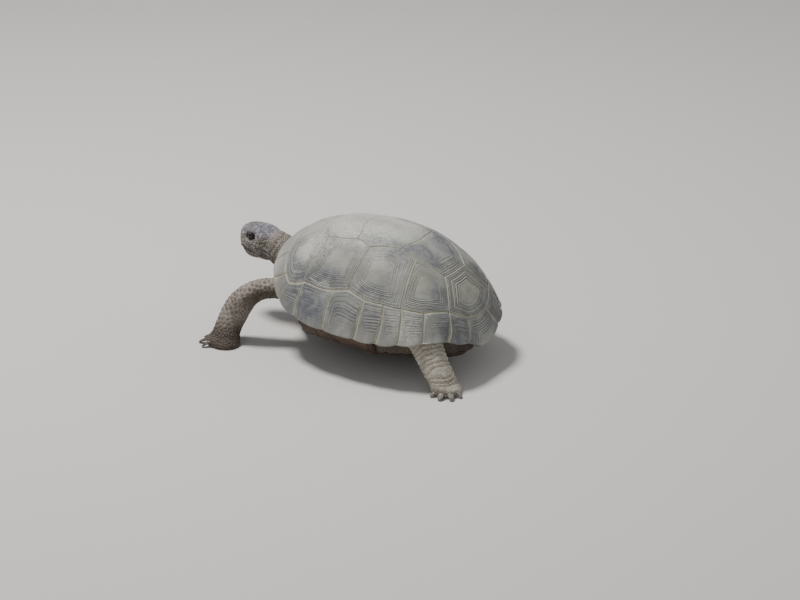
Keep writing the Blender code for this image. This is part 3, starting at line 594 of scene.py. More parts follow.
def rim_plate(name, foot_a, foot_b, top, rings, strength):
    """A plate that folds under the rim, on a grid from lip to top seam."""
    top = np.array(top[::-1], float)
    part = (top[:, 0] - top[0, 0]) / (top[-1, 0] - top[0, 0])
    zero = np.zeros(2)
    feet = shell_point(np.radians([foot_a, foot_b]), zero, zero)
    ends = shell_point(np.radians(top[[0, -1], 0]), top[[0, -1], 1], zero)
    width = np.linalg.norm(feet[1] - feet[0])
    top_width = np.linalg.norm(ends[1] - ends[0])
    height = np.linalg.norm(ends[0] - feet[0])
    seed = seed_of(name) + 7
    columns = np.linspace(0, 1, max(12, int(width / RIM_COLUMN)))
    for corner in part[1:-1]:
        columns[np.abs(columns - corner).argmin()] = corner
    full = 1 - PLATE_GAP / height
    side_rows = np.linspace(0, full, max(20, int(height / RIM_ROW)))
    rows = np.concatenate([LIP_ROWS, side_rows])

    def spots_of(s, v):
        """Direction and rise for grid places, v below 0 on the lip."""
        up = np.clip(v, 0, None)
        gap = PLATE_GAP / (width + (top_width - width) * up)
        s = gap + s * (1 - 2 * gap)
        foot = foot_a + (foot_b - foot_a) * s
        turn = foot + (np.interp(s, part, top[:, 0]) - foot) * up
        rise = np.interp(s, part, top[:, 1]) * up
        rise = np.where(v < 0, -v * LIP_END, rise)
        return np.radians(turn), rise

    v, s = np.meshgrid(rows, columns, indexing="ij")
    around, rise = spots_of(s, v)
    across = np.abs(2 * s - 1)
    up = np.clip(v, 0, 1)
    away = np.where(s < RIM_AREOLA, (RIM_AREOLA - s) / RIM_AREOLA,
                    (s - RIM_AREOLA) / (1 - RIM_AREOLA))
    share = (up**22 + away**22)**(1 / 22)
    share = np.where(v < 0, away, share)
    share = np.clip(share / share.max(), 0, 1)
    local = width + (top_width - width) * up
    side_gap = (1 - across) * local / 2
    top_gap = (1 - up) * height
    depth = np.minimum(side_gap, np.where(v < 0, 1.0, top_gap))
    places = shell_point(around, rise, np.zeros_like(rise))
    relief, phase, clear = ring_relief(share, depth, places, strength, rings,
                                       seed)
    calm = np.where(v < 0, 0.35, smooth(0.0, 0.45, up) * 0.75 + 0.25)
    roll = rolled_edge(depth)
    relief = (relief - roll) * calm + roll
    soften = -0.00055 * bell(rise / 0.028)
    lift = relief + soften - PLATE_BULGE * np.maximum(across, up)**2
    points = shell_point(around, rise, lift).reshape(-1, 3)
    faces = grid_faces(len(rows), len(columns))
    grid = np.arange(len(points)).reshape(v.shape)
    boundary = np.concatenate([grid[0], grid[1:, -1], grid[-1, -2::-1],
                               grid[-2:0:-1, 0]]).tolist()
    if foot_b < foot_a:
        faces, boundary = reverse(faces), boundary[::-1]
    edge_s, edge_v = s.ravel()[boundary], v.ravel()[boundary]
    walls = inner_shell(*spots_of(edge_s, edge_v), PLATE_DEPTH)
    ring_s, ring_v = 0.5 + (edge_s - 0.5) * INNER_SHARE, edge_v * INNER_SHARE
    ring = inner_shell(*spots_of(ring_s, ring_v), RIM_INNER_DEPTH)
    hub = inner_shell(*spots_of(np.array([0.5]), np.array([0.02])),
                      RIM_INNER_DEPTH)[0]
    values = {"phase": phase.ravel(), "clear": (clear * calm).ravel(),
              "seam": depth.ravel() * 1000,
              "edge": np.exp(-np.abs(rise.ravel()) / 0.035)}
    for key, value in marks_at(around, rise, places).items():
        values[key] = value.ravel()
    finish_plate(name, seed, points, faces, boundary, walls, ring, hub, values)


def inner_shell(around, rise, depth):
    """Inside of a rim plate, set back from both the side and the lip."""
    base = shell_point(around, rise, np.zeros_like(rise))
    high = np.maximum(rise, 0.05)
    side = shell_point(around, high, np.full_like(rise, -depth))
    side = side + base - shell_point(around, high, np.zeros_like(rise))
    set_back = depth * smooth(-0.035, 0.0, rise)
    low = base - outward_way(around) * set_back[..., None]
    low = low + UP * depth * 1.15
    share = smooth(0.0, 0.12, rise)[..., None]
    return np.where((rise <= 0)[..., None], low,
                    low * (1 - share) + side * share)


# half outline or whole outline, areola, rings, how clear the rings are
VERTEBRALS = (
    ((MARGINAL_TOPS[0], FRONT_JOINT, V1_SIDE), (0, 0.56), 9, 0.8),
    ((V1_SIDE, V2_SIDE, V2_BACK), (0, 0.81), 10, 0.45),
    ((V2_BACK, V3_SIDE, V3_BACK), (180, 0.955), 9, 0.5),
    ((V3_BACK, V4_SIDE, V4_BACK), (180, 0.72), 9, 0.9),
    ((V4_BACK, C4_FOOT, V5_FOOT), (180, 0.43), 9, 1.05))
COSTALS = (
    ((FRONT_JOINT, *MARGINAL_TOPS[1:4], C1_FOOT, V2_SIDE, V1_SIDE),
     (35, 0.47), 11, 1.1),
    ((C1_FOOT, MARGINAL_TOPS[5], C2_FOOT, V3_SIDE, V2_BACK, V2_SIDE),
     (70, 0.58), 14, 1.1),
    ((C2_FOOT, *MARGINAL_TOPS[6:8], C3_FOOT, V4_SIDE, V3_BACK, V3_SIDE),
     (113, 0.57), 13, 1.1),
    ((C3_FOOT, MARGINAL_TOPS[9], C4_FOOT, V4_BACK, V4_SIDE),
     (148, 0.48), 11, 1.05))
# where a costal's corner stands in the middle of a marginal's top
TOP_CORNERS = {1: [FRONT_JOINT], 6: [C2_FOOT]}


def make_plates():
    """All plates of the shell's upper side and rim."""
    for number, (half, *rest) in enumerate(VERTEBRALS, 1):
        corners = [*half, *map(mirrored, half[::-1])]
        shield(f"vertebral_{number}", corners, *rest)
    for side, flip in (("left", 1), ("right", -1)):
        for number, (corners, (d, r), *rest) in enumerate(COSTALS, 1):
            corners = [(turn * flip, rise) for turn, rise in corners[::flip]]
            shield(f"costal_{side}_{number}", corners, (d * flip, r), *rest)
        for number in range(1, 12):
            a, b = MARGINAL_TOPS[number - 1:number + 1]
            top = [(turn * flip, rise)
                   for turn, rise in (b, *TOP_CORNERS.get(number, []), a)]
            feet = (f * flip for f in MARGINAL_FOOTS[number - 1:number + 1])
            rim_plate(f"marginal_{side}_{number}", *feet, top, 15,
                      0.35 if number < 4 else 1.0)
    top, foot = MARGINAL_TOPS[0], MARGINAL_FOOTS[0]
    rim_plate("nuchal", -foot, foot, [top, mirrored(top)], 6, 0.5)
    foot = MARGINAL_FOOTS[-1]
    rim_plate("supracaudal", foot, 360 - foot,
              [(360 - V5_FOOT[0], V5_FOOT[1]), V5_FOOT], 12, 1.0)


def make_seam_bed():
    """The pale new horn that shows between the plates."""
    count, depth, rim_depth, inside_depth = 360, -0.00165, -0.00185, 0.0044
    around = np.linspace(0, 2 * math.pi, count + 1)[:-1]
    rises = np.concatenate([[-0.096, -0.07, -0.04, -0.015, 0.0, 0.012],
                            np.linspace(0.03, 0.97, 58)])
    rise, turn = np.meshgrid(rises, around, indexing="ij")
    lift = np.where(rise < 0.02, rim_depth, depth)
    outside = shell_point(turn, rise, lift).reshape(-1, 3)
    inner_rise = np.array([-0.094, 0.01, 0.2, 0.4, 0.6, 0.8, 0.95])
    rise, turn = np.meshgrid(inner_rise, around, indexing="ij")
    inside = inner_shell(turn, rise, inside_depth).reshape(-1, 3)
    tops = shell_point(np.zeros(2), np.ones(2), np.array([depth, -inside_depth]))
    points = np.concatenate([outside, tops[:1], inside, tops[1:]])
    crown, start, hub = len(outside), len(outside) + 1, len(points) - 1
    faces = grid_faces(len(rises), count, closed=True)
    faces += fan(crown, range(crown - count, crown))
    faces += reverse(grid_faces(len(inner_rise), count, start, True))
    faces += fan(hub, range(hub - count, hub))
    faces += band(range(count), range(start, start + count))
    make_piece("seam_bed", points, faces, ["trunk"], {},
               [seam_material])


# ------------------------------------------------------------ soft body form
def millimetres(rows):
    """Rows of millimetres as metres."""
    return np.array(rows, float) / 1000


# centre x, y, z, half size toward the front or top, half size across
FRONT_LEFT = millimetres((
    (45, -88, 68, 15.5, 17.0), (56, -112, 69.5, 13.0, 15.0),
    (66, -133, 68, 13.0, 15.5), (74, -148, 60, 14.5, 15.5),
    (79, -159, 47, 16.5, 15.0), (84.0, -165.5, 33.0, 17.0, 14.5),
    (91, -168, 21, 16.5, 15.0), (98, -168, 11, 18.5, 17.0),
    (102, -167, 3.5, 20.5, 18.5), (103, -166, 0, 17.5, 16.0)))
HIND_LEFT = millimetres((
    (46, 72, 64, 20.0, 21.0), (57, 89, 53, 19.0, 20.0),
    (65, 104, 38, 17.5, 18.0), (68.4, 114.6, 24, 16.5, 17.0),
    (69, 123, 12, 17.0, 17.5), (69, 128, 4, 18.5, 19.0),
    (69, 129, 0, 16.0, 16.5)))
FRONT_RIGHT = millimetres((
    (-46, -86, 68, 15.5, 18.0), (-62, -99, 62, 14.0, 16.5),
    (-76, -104, 50, 15.0, 15.5), (-84.5, -101.2, 34, 16.5, 14.5),
    (-88, -98, 21, 16.5, 15.0), (-90, -97, 11, 18.0, 16.0),
    (-91, -98, 3.5, 20.0, 18.0), (-91, -99, 0, 17.0, 15.5)))
HIND_RIGHT = millimetres((
    (-46, 84, 62, 20.0, 21.0), (-60, 78, 52, 18.5, 19.0),
    (-71, 73, 38, 17.5, 17.5), (-76.0, 71.0, 24, 16.5, 16.5),
    (-78, 70, 12, 17.0, 17.0), (-79, 69, 4, 18.5, 18.5),
    (-79, 69, 0, 16.0, 16.0)))
TAIL = millimetres((
    (0, 92, 52, 15, 16), (0, 108, 49, 12, 13), (-1, 118, 44, 9, 9.5),
    (-3, 125, 36, 5.5, 6), (-5, 127, 29, 2.4, 2.6)))
NECK = millimetres((
    (0, -90.0, 80.2, 23.7, 26.0), (0, -112.0, 82.1, 24.7, 24.0),
    (0, -130.0, 85.0, 23.6, 21.5), (0, -145.0, 89.5, 22.3, 19.8),
    (0, -156.0, 93.4, 21.1, 19.0), (0, -166.0, 96.4, 20.7, 18.0)))
HEAD = millimetres((
    (0, -160.0, 95.6, 18.0, 16.0), (0, -165.0, 96.4, 20.4, 18.0),
    (0, -171.5, 97.2, 21.4, 19.8), (0, -179.0, 97.7, 21.9, 20.4),
    (0, -186.5, 97.4, 22.5, 19.2), (0, -193.0, 97.1, 22.5, 17.2),
    (0, -199.0, 97.1, 21.6, 14.7), (0, -204.5, 97.3, 19.3, 12.1),
    (0, -208.5, 97.5, 15.9, 9.3), (0, -211.0, 97.5, 11.5, 6.0)))
# name: stations, way the top or front faces, how square, skin inset,
# sections at the end that lie level
PARTS = {
    "neck": (NECK, (0, -1, 0), 2.0, 0.0010, 0),
    "head": (HEAD, (0, -1, 0), 2.35, 0.0005, 0),
    "front_left": (FRONT_LEFT, (-0.13, -0.99, 0), 2.0, 0.0010, 3),
    "front_right": (FRONT_RIGHT, (-0.45, -0.89, 0), 2.0, 0.0010, 3),
    "hind_left": (HIND_LEFT, (0.88, 0.47, 0), 2.0, 0.0009, 3),
    "hind_right": (HIND_RIGHT, (-0.50, -0.87, 0), 2.0, 0.0009, 3),
    "tail": (TAIL, (0, -1, 0), 2.0, 0.0008, 0),
}
PART_NAMES = list(PARTS)
# how many claws, how far they fan out, their length and width
CLAWS = {"front": (5, 56, 0.0180, 0.0094), "hind": (4, 46, 0.0142, 0.0086)}
FEET = {name: CLAWS[name.split("_")[0]] for name in PARTS if "_" in name}
BELLY_LEVEL = -0.0275
BELLY_TOP = BELLY_LEVEL + 0.005
BELLY_STATIONS = (-0.129, -0.118, -0.100, -0.086, -0.072, -0.060, 0.030,
                  0.042, 0.060, 0.082, 0.105, 0.116)
BELLY_HALF_WIDTHS = (0.014, 0.024, 0.042, 0.058, 0.073, 0.083, 0.083,
                     0.074, 0.062, 0.052, 0.034, 0.014)
BRIDGE_FROM, BRIDGE_TO = -0.072, 0.030
CORE_DEPTH = 0.0063
SKIN_SPACING = 0.0014


def fine_stations(stations, spacing):
    """Stations joined by a smooth curve, about spacing apart."""
    padded = np.concatenate([[2 * stations[0] - stations[1]], stations,
                             [2 * stations[-1] - stations[-2]]])
    rows = []
    for i in range(len(stations) - 1):
        p0, p1, p2, p3 = padded[i:i + 4]
        length = np.linalg.norm(p2[:3] - p1[:3])
        for t in np.arange(0, 1, 1 / max(1, round(length / spacing))):
            rows.append(0.5 * (2 * p1 + (p2 - p0) * t
                               + (2 * p0 - 5 * p1 + 4 * p2 - p3) * t**2
                               + (3 * p1 - p0 - 3 * p2 + p3) * t**3))
    rows.append(stations[-1])
    return np.array(rows)


def part_axis(name, spacing=0.002):
    """Centres, frames and half sizes along a soft part."""
    stations, forward, _, inset, level_count = PARTS[name]
    rows = fine_stations(stations, spacing)
    centres = rows[:, :3]
    runs = unit(np.gradient(centres, axis=0))
    if level_count:
        level_height = stations[-level_count, 2]
        level = 1 - smooth(level_height, level_height + 0.012, centres[:, 2])
        runs = unit(runs * (1 - level)[:, None] - UP * level[:, None])
    if name == "head":
        runs[:] = (0, -1.0, 0)
    tops = UP + 0.6 * np.array(forward, float)
    tops = unit(tops - runs * (runs @ tops)[:, None])
    sides = np.cross(runs, tops)
    halves = rows[:, 3:5] - inset
    return centres + SHIFT, runs, tops, sides, halves, run_along(centres)


AXES = {name: part_axis(name) for name in PART_NAMES}


def tube_mesh(name, sides_count=48):
    """A closed tube around one soft part."""
    centres, _, tops, sides, halves, _ = AXES[name]
    power = PARTS[name][2]
    turn = np.linspace(0, 2 * math.pi, sides_count + 1)[:-1]
    c, s = np.cos(turn), np.sin(turn)
    shape = (np.abs(c)**power + np.abs(s)**power)**(-1 / power)
    points = (centres[:, None]
              + tops[:, None] * (c * shape)[None, :, None] * halves[:, None, :1]
              + sides[:, None] * (s * shape)[None, :, None] * halves[:, None, 1:])
    if PARTS[name][4]:
        points[..., 2] = np.maximum(points[..., 2], 0.0006)
    rows = len(centres)
    faces = grid_faces(rows, sides_count, closed=True)
    flat = points.reshape(-1, 3)
    hubs = np.array([flat[:sides_count].mean(0), flat[-sides_count:].mean(0)])
    if name == "head":
        hubs[1] = hubs[1] + np.array([0, -0.0022, 0])
    start = len(flat)
    last = (rows - 1) * sides_count
    for i in range(sides_count):
        j = (i + 1) % sides_count
        faces.append((start, j, i))
        faces.append((start + 1, last + i, last + j))
    return np.concatenate([flat, hubs]), faces


def belly_half_width(y):
    """Half width of the belly plates at a station."""
    return np.interp(y, BELLY_STATIONS, BELLY_HALF_WIDTHS)


def belly_reach(around):
    """How far the belly plates reach in one direction."""
    steps = np.linspace(0.0, 0.14, 561)
    x = np.abs(np.sin(around)) * steps
    y = -np.cos(around) * steps
    inside = (x <= belly_half_width(y))
    inside &= (y >= BELLY_STATIONS[0]) & (y <= BELLY_STATIONS[-1])
    return float(steps[inside].max())


def bridge_share(around):
    """1 where the belly joins the shell's sides, 0 at the openings."""
    degrees = degrees_off_front(around)
    return np.clip((degrees - 46) / 10, 0, 1) * np.clip((118 - degrees) / 10, 0, 1)


def core_mesh(count=180):
    """The soft walls of the shell's openings, closed out of sight."""
    angles = np.arange(count) * 2 * math.pi / count
    rim = dome(angles, np.zeros(count))
    outward = outward_way(angles)
    share = bridge_share(angles)[:, None]
    inner = np.array([belly_reach(a) for a in angles])[:, None]
    rows = []
    for rise in (0.36, 0.27):
        base = dome(angles, np.full(count, rise))
        normal = dome_normal(angles, np.full(count, rise))
        rows.append(base - normal * (CORE_DEPTH + 0.001))
    for inset, height in ((0.0105, 0.0072), (0.0125, 0.0070)):
        rows.append(rim - outward * inset + UP * height)
    rows.append(rim - outward * (0.0130 + 0.0080 * share)
                + UP * (0.0016 + 0.0046 * share))
    floor_level = BELLY_TOP + 0.0004
    edge = outward * (inner + 0.0030 - 0.0120 * share)
    edge[:, 2:] = floor_level - 0.0006
    for part in (0.30, 0.62, 0.88):
        wall = rim - outward * (0.0165 + 0.0115 * share) + UP * 0.0005
        row = wall * (1 - part) + edge * part
        bulge = 0.0035 * math.sin(math.pi * part)
        rows.append(row - outward * (bulge * (1 - 2 * share)))
    rows.append(edge)
    flat = outward * (inner - 0.007 - 0.005 * share)
    flat[:, 2] = floor_level
    rows.append(flat)
    points = np.concatenate(rows)
    faces = reverse(grid_faces(len(rows), count, closed=True))
    top = np.array([0, 0, rows[0][:, 2].mean()])
    low_hub = np.array([0, 0, floor_level])
    start = len(points)
    points = np.concatenate([points, [top, low_hub]])
    last = (len(rows) - 1) * count
    for i in range(count):
        j = (i + 1) % count
        faces.append((start, i, j))
        faces.append((start + 1, last + j, last + i))
    return carry(points), faces


def edge_list(faces):
    """Each edge of a quad and triangle mesh once, as index pairs."""
    pairs = []
    for size in {len(f) for f in faces}:
        block = np.array([f for f in faces if len(f) == size])
        for k in range(size):
            pairs.append(np.stack([block[:, k], block[:, (k + 1) % size]], -1))
    pairs = np.sort(np.concatenate(pairs), axis=1)
    return np.unique(pairs, axis=0)


def relax(points, edges, weight, rounds):
    """Moves each point toward its neighbours' mean by its weight."""
    count = len(points)
    degree = np.bincount(edges.ravel(), minlength=count)[:, None]
    first, second = edges.T
    for _ in range(rounds):
        total = (summed(first, points[second], count)
                 + summed(second, points[first], count))
        points = points + (total / degree - points) * weight[:, None]
    return points


def as_quads(faces):
    """All faces with four corners, a triangle's last one twice."""
    return np.array([f if len(f) == 4 else (*f, f[2]) for f in faces])


def point_normals(points, faces):
    """Outward way of the surface at each point."""
    quads = as_quads(faces)
    normal = np.cross(points[quads[:, 2]] - points[quads[:, 0]],
                      points[quads[:, 3]] - points[quads[:, 1]])
    total = np.zeros_like(points)
    for corner in quads.T:
        total += summed(corner, normal, len(points))
    return unit(total)


def locate(points):
    """Nearest soft part for each point, and its place on that part."""
    count = len(points)
    best = np.full(count, 9.0)
    found = {"part": np.zeros(count, int), "along": np.zeros(count),
             "turn": np.zeros(count)}
    for index, name in enumerate(PART_NAMES):
        centres, runs, tops, sides, halves, along = AXES[name]
        nearest = np.full(count, 9.0)
        pick = np.zeros(count, int)
        for k, centre in enumerate(centres):
            size = halves[k].mean()
            if size < 0.001:
                continue
            value = np.sqrt(((points - centre)**2).sum(1)) / size
            closer = value < nearest
            nearest[closer] = value[closer]
            pick[closer] = k
        offset = points - centres[pick]
        a = (offset * tops[pick]).sum(1)
        b = (offset * sides[pick]).sum(1)
        run = (offset * runs[pick]).sum(1)
        closer = nearest < best
        best = np.where(closer, nearest, best)
        found["part"][closer] = index
        found["along"][closer] = (along[pick] + run)[closer]
        found["turn"][closer] = np.arctan2(b, a)[closer]
    found["near"] = best
    found["core"] = smooth(1.02, 1.22, best)
    return found


def on_part(places, *starts):
    """Marks the places on soft parts whose names begin so."""
    own = [i for i, name in enumerate(PART_NAMES) if name.startswith(starts)]
    return np.isin(places["part"], own)


def mesh_points(mesh):
    """A mesh's points and faces; the mesh is then let go."""
    spots = np.empty(len(mesh.vertices) * 3)
    mesh.vertices.foreach_get("co", spots)
    faces = [tuple(p.vertices) for p in mesh.polygons]
    bpy.data.meshes.remove(mesh)
    return spots.reshape(-1, 3), faces


def remeshed_body():
    """All soft parts joined in one closed surface."""
    points, faces = core_mesh()
    points, faces = list(points), list(faces)
    for name in PART_NAMES:
        more, quads = tube_mesh(name)
        start = len(points)
        points.extend(more)
        faces.extend(tuple(v + start for v in f) for f in quads)
    mesh = bpy.data.meshes.new("rough")
    mesh.from_pydata(np.array(points).tolist(), [], faces)
    rough = bpy.data.objects.new("rough", mesh)
    bpy.context.collection.objects.link(rough)
    step = rough.modifiers.new("join", "REMESH")
    step.mode = "VOXEL"
    step.voxel_size = SKIN_SPACING
    bpy.context.view_layer.update()
    graph = bpy.context.evaluated_depsgraph_get()
    solid = bpy.data.meshes.new_from_object(rough.evaluated_get(graph))
    bpy.data.objects.remove(rough, do_unlink=True)
    return mesh_points(solid)


def from_shell(points):
    """Back into the shell's own frame."""
    local = points - SHIFT
    c, s = math.cos(NOSE_UP), math.sin(NOSE_UP)
    y, z = local[:, 1], local[:, 2] - SIDE_RIM_LEVEL
    return np.stack([local[:, 0], y * c - z * s, z * c + y * s], -1)


def hide_inside(points, quads):
    """Drops the skin that the shell covers and closes each hole simply."""
    local = from_shell(points)
    around = np.arctan2(local[:, 0], -local[:, 1])
    high = local[:, 2] > rim_height(around) + 0.0105
    floor_level = BELLY_TOP + 0.0022
    half = belly_half_width(local[:, 1]) - 0.014
    low = (local[:, 2] < floor_level) & (np.abs(local[:, 0]) < half)
    low &= (local[:, 1] > -0.098) & (local[:, 1] < 0.088)
    reach = np.hypot(local[:, 0] / SHELL_HALF_WIDTH,
                     local[:, 1] / SHELL_HALF_LENGTH)
    drop = (high & (reach < 0.93)) | low
    quads = as_quads(quads)
    quads = quads[~drop[quads].any(1)]
    quads = quads[largest_part(len(points), quads)]
    used = np.zeros(len(points), bool)
    used[quads.ravel()] = True
    index = np.cumsum(used) - 1
    return points[used], index[quads]


def largest_part(count, quads):
    """Marks the faces of the biggest connected piece."""
    labels = np.arange(count)
    while True:
        least = labels[quads].min(1)
        fresh = labels.copy()
        for k in range(4):
            np.minimum.at(fresh, quads[:, k], least)
        fresh = fresh[fresh]
        if np.array_equal(fresh, labels):
            break
        labels = fresh
    groups = np.bincount(labels[quads[:, 0]])
    return labels[quads[:, 0]] == groups.argmax()


def close_holes(points, quads):
    """A hub at the middle of each open edge loop."""
    follow = {}
    seen = set(map(tuple, np.concatenate([quads[:, [k, (k + 1) % 4]]
                                          for k in range(4)]).tolist()))
    for a, b in seen:
        if a != b and (b, a) not in seen:
            follow.setdefault(b, []).append(a)
    faces = [tuple(dict.fromkeys(q)) for q in quads.tolist()]
    hubs = []
    while follow:
        start = min(follow)
        loop, here = [], start
        while here in follow:
            loop.append(here)
            onward = follow[here].pop()
            if not follow[here]:
                del follow[here]
            here = onward
        if len(loop) < 3:
            continue
        hub = len(points) + len(hubs)
        hubs.append(points[loop].mean(0))
        count = len(loop)
        faces += [(loop[i], loop[(i + 1) % count], hub) for i in range(count)]
    if hubs:
        points = np.concatenate([points, np.array(hubs)])
    return points, faces


def refine(points, faces, chosen):
    """Splits the faces whose points are chosen, keeping one surface."""
    work = bmesh.new()
    mesh = bpy.data.meshes.new("refine")
    mesh.from_pydata(points.tolist(), [], faces)
    work.from_mesh(mesh)
    work.verts.ensure_lookup_table()
    edges = [e for e in work.edges
             if chosen[e.verts[0].index] and chosen[e.verts[1].index]]
    bmesh.ops.subdivide_edges(work, edges=edges, cuts=1, use_grid_fill=True)
    big = [f for f in work.faces if len(f.verts) > 4]
    bmesh.ops.triangulate(work, faces=big)
    work.to_mesh(mesh)
    work.free()
    return mesh_points(mesh)


def ridged(points, size, seed):
    """Folds: sharp valleys between soft swells, in 0..1."""
    return 1 - np.abs(noise(points, size, seed))


EYE_SPOT = np.array([0.0113, -0.1885, 0.1072])
EYE_SIZE = 0.0054
LID_LONG, LID_HIGH = 0.0043, 0.0030
# where the face ends toward the neck, and how far aside its cheeks start
FACE_END = -0.172
BESIDE_EYE = 0.008


def mouth_level(y):
    """Height of the mouth line along the head."""
    back = smooth(-0.2110, -0.1770, y)
    return 0.0878 + 0.0016 * np.sin(math.pi * back) - 0.0012 * back


def almond(y, z):
    """1 on the edge of the eye's opening, less inside."""
    dy, dz = y - EYE_SPOT[1], z - EYE_SPOT[2]
    dz = dz - 0.10 * dy
    return np.hypot(dy / LID_LONG, dz / (LID_HIGH * np.where(dz > 0, 0.92, 1.08)))


# how far the face swells, middle y and z, half length along y and z: cheek,
# temple and corner of the mouth
FACE_SWELLS = ((0.0008, -0.1840, 0.0975, 0.0090, 0.0050),
               (0.0009, -0.1745, 0.1030, 0.0060, 0.0080),
               (-0.0007, -0.1765, 0.0880, 0.0020, 0.0028))
BROW = (-0.1880, 0.1133)
SNOUT_END = -0.2045
NOSTRIL = (0.0026, 0.1022)
EAR = (-0.1700, 0.0985)


def face_relief(x, y, z):
    """Brow, mouth, beak, nostrils and ear discs: height over the head."""
    flat_x = np.abs(x)
    push = 0.0016 * bell((z - BROW[1]) / 0.0022, ((y - BROW[0]) / 0.0085)**2)
    push = push * (flat_x > 0.006)
    for amount, middle_y, middle_z, long, high in FACE_SWELLS:
        push += amount * bell((y - middle_y) / long, (z - middle_z) / high)
    push -= 0.0011 * bell((y - SNOUT_END) / 0.006) * smooth(0.1045, 0.112, z)
    bridge = bell(flat_x / 0.0045) * smooth(0.104, 0.112, z)
    push += 0.0004 * bridge * smooth(-0.186, -0.204, y)
    below = mouth_level(y) - z
    mouth = 0.00045 * bell((below + 0.0016) / 0.0010)
    mouth -= 0.0013 * bell(below / 0.00055)
    jaw = smooth(0.0, 0.0012, below) * (1 - smooth(0.004, 0.012, below))
    push += (mouth - 0.0009 * jaw) * (1 - smooth(-0.1790, -0.1755, y))
    nostril = np.hypot(flat_x - NOSTRIL[0], z - NOSTRIL[1])
    hole = 0.0004 * bell((nostril - 0.0016) / 0.0006)
    hole -= 0.0013 * bell(nostril / 0.00085)
    push += hole * smooth(-0.2070, -0.2100, y)
    ear = np.hypot(y - EAR[0], z - EAR[1])
    disc = 0.0007 * bell((ear - 0.0040) / 0.0007)
    disc += 0.0004 * (1 - smooth(0.003, 0.0045, ear))
    push -= disc * (flat_x > 0.012)
    return push * (1 - smooth(FACE_END, FACE_END + 0.010, y))


def shape_head(points, normals):
    """The face, then the lids laid over the eyeballs and their openings."""
    side = np.where(points[:, 0] < SHIFT[0], -1.0, 1.0)
    points = points + normals * face_relief(*(points - SHIFT).T)[:, None]
    x, y, z = (points - SHIFT).T
    opening = almond(y, z)
    spread = np.hypot(y - EYE_SPOT[1], z - EYE_SPOT[2])
    inside = 1 - smooth(0.90, 1.04, opening)
    lid = 0.00050 * bell((opening - 1.16) / 0.13)
    crease = -0.00035 * bell((opening - 1.55) / 0.12)
    radius = EYE_SIZE + 0.00025 + lid + crease - 0.0017 * inside
    ball_x = np.sqrt(np.clip(radius**2 - spread**2, 1e-8, None)) + EYE_SPOT[0]
    share = (1 - smooth(1.20, 2.20, opening)) * (np.abs(x) > 0.006)
    new_x = np.abs(x) * (1 - share) + ball_x * share
    points[:, 0] = side * new_x + SHIFT[0]
    return points


def skin_folds(points, places):
    """Folds, creases and claw beds: height over the plain skin."""
    world = points - SHIFT
    y, z = world[:, 1], world[:, 2]
    along, turn, core = places["along"], places["turn"], places["core"]
    soft = np.zeros(len(points))
    sway = noise(points, 0.011, 31) * 0.0022
    neck = smooth(-0.166, -0.158, y) * (on_part(places, "neck") & (core < 0.5))
    soft += 0.0013 * (fold((along + sway) / 0.0068, 0.7) - 0.75) * neck
    turned = np.arctan2(z - 0.106, y + 0.190)
    throat = smooth(-0.180, -0.172, y) * on_part(places, "neck", "head")
    throat = throat * (1 - smooth(-0.158, -0.148, y))
    throat = throat * (1 - smooth(0.092, 0.099, z))
    soft += 0.0012 * (fold(turned / 0.17 + sway * 90, 0.7) - 0.75) * throat
    for name, low, high in (("hind_left", 0.030, 0.078),
                            ("hind_right", 0.022, 0.062)):
        limb = on_part(places, name) & (core < 0.6)
        fade = smooth(low - 0.006, low + 0.006, along)
        fade = fade * (1 - smooth(high - 0.006, high + 0.008, along)) * limb
        soft += 0.00150 * (fold((along + sway) / 0.0052, 0.6) - 0.7) * fade
    inner = smooth(0.35, 0.75, 0.5 - 0.5 * np.cos(turn))
    inner = inner * (1 - smooth(0.040, 0.062, along)) * on_part(places, "front")
    turned = turn + noise(points, 0.02, 33) * 0.35
    soft += 0.0016 * (fold(turned * 4.5 / math.pi, 0.6) - 0.75) * inner
    for name in FEET:
        for root, way in claw_roots(name):
            spread = np.linalg.norm(points - root - way * 0.002, axis=1)
            soft += 0.0026 * bell(spread / 0.0062)
    low = 1 - smooth(0.004, 0.010, from_shell(points)[:, 2])
    creases = ridged(points * np.array([1, 1, 0.55]), 0.0085, 41)
    soft += 0.0016 * (creases - 0.75) * core * low
    return soft + 0.00022 * noise(points, 0.003, 43) * (y > -0.170)


def shape_skin():
    """The one skin: joined parts, soft corners, folds and the face."""
    points, quads = remeshed_body()
    points, quads = hide_inside(points, quads)
    points, faces = close_holes(points, quads)
    edges = edge_list(faces)
    places = locate(points)
    points = relax(points, edges, np.full(len(points), 0.45), 3)
    weight = 0.6 * smooth(1.04, 1.25, places["near"])
    local = from_shell(points)
    shell_edge = smooth(-0.002, 0.004, local[:, 2]) * places["core"]
    points = relax(points, edges, weight * (1 - shell_edge), 22)
    points, faces = refine(points, faces, points[:, 1] - SHIFT[1] < -0.166)
    x, y, z = (points - SHIFT).T
    fine = np.hypot(y - EYE_SPOT[1], z - EYE_SPOT[2]) < 0.0105
    fine &= np.abs(x) > 0.009
    fine |= (y < -0.176) & (np.abs(z - 0.0884) < 0.0028)
    points, faces = refine(points, faces, fine | (y < -0.2065))
    places = locate(points)
    normals = point_normals(points, faces)
    points = shape_head(points, normals)
    soft = skin_folds(points, places)
    floor = smooth(0.0008, 0.004, points[:, 2] - SHIFT[2])
    points = points + normals * (soft * floor)[:, None]
    points[:, 2] = np.maximum(points[:, 2], 0.0005)
    # the last value marks the valleys of the folds, where painted shade goes into the skin
    # colour
    return points, faces, smooth(-0.0002, -0.0009, soft)


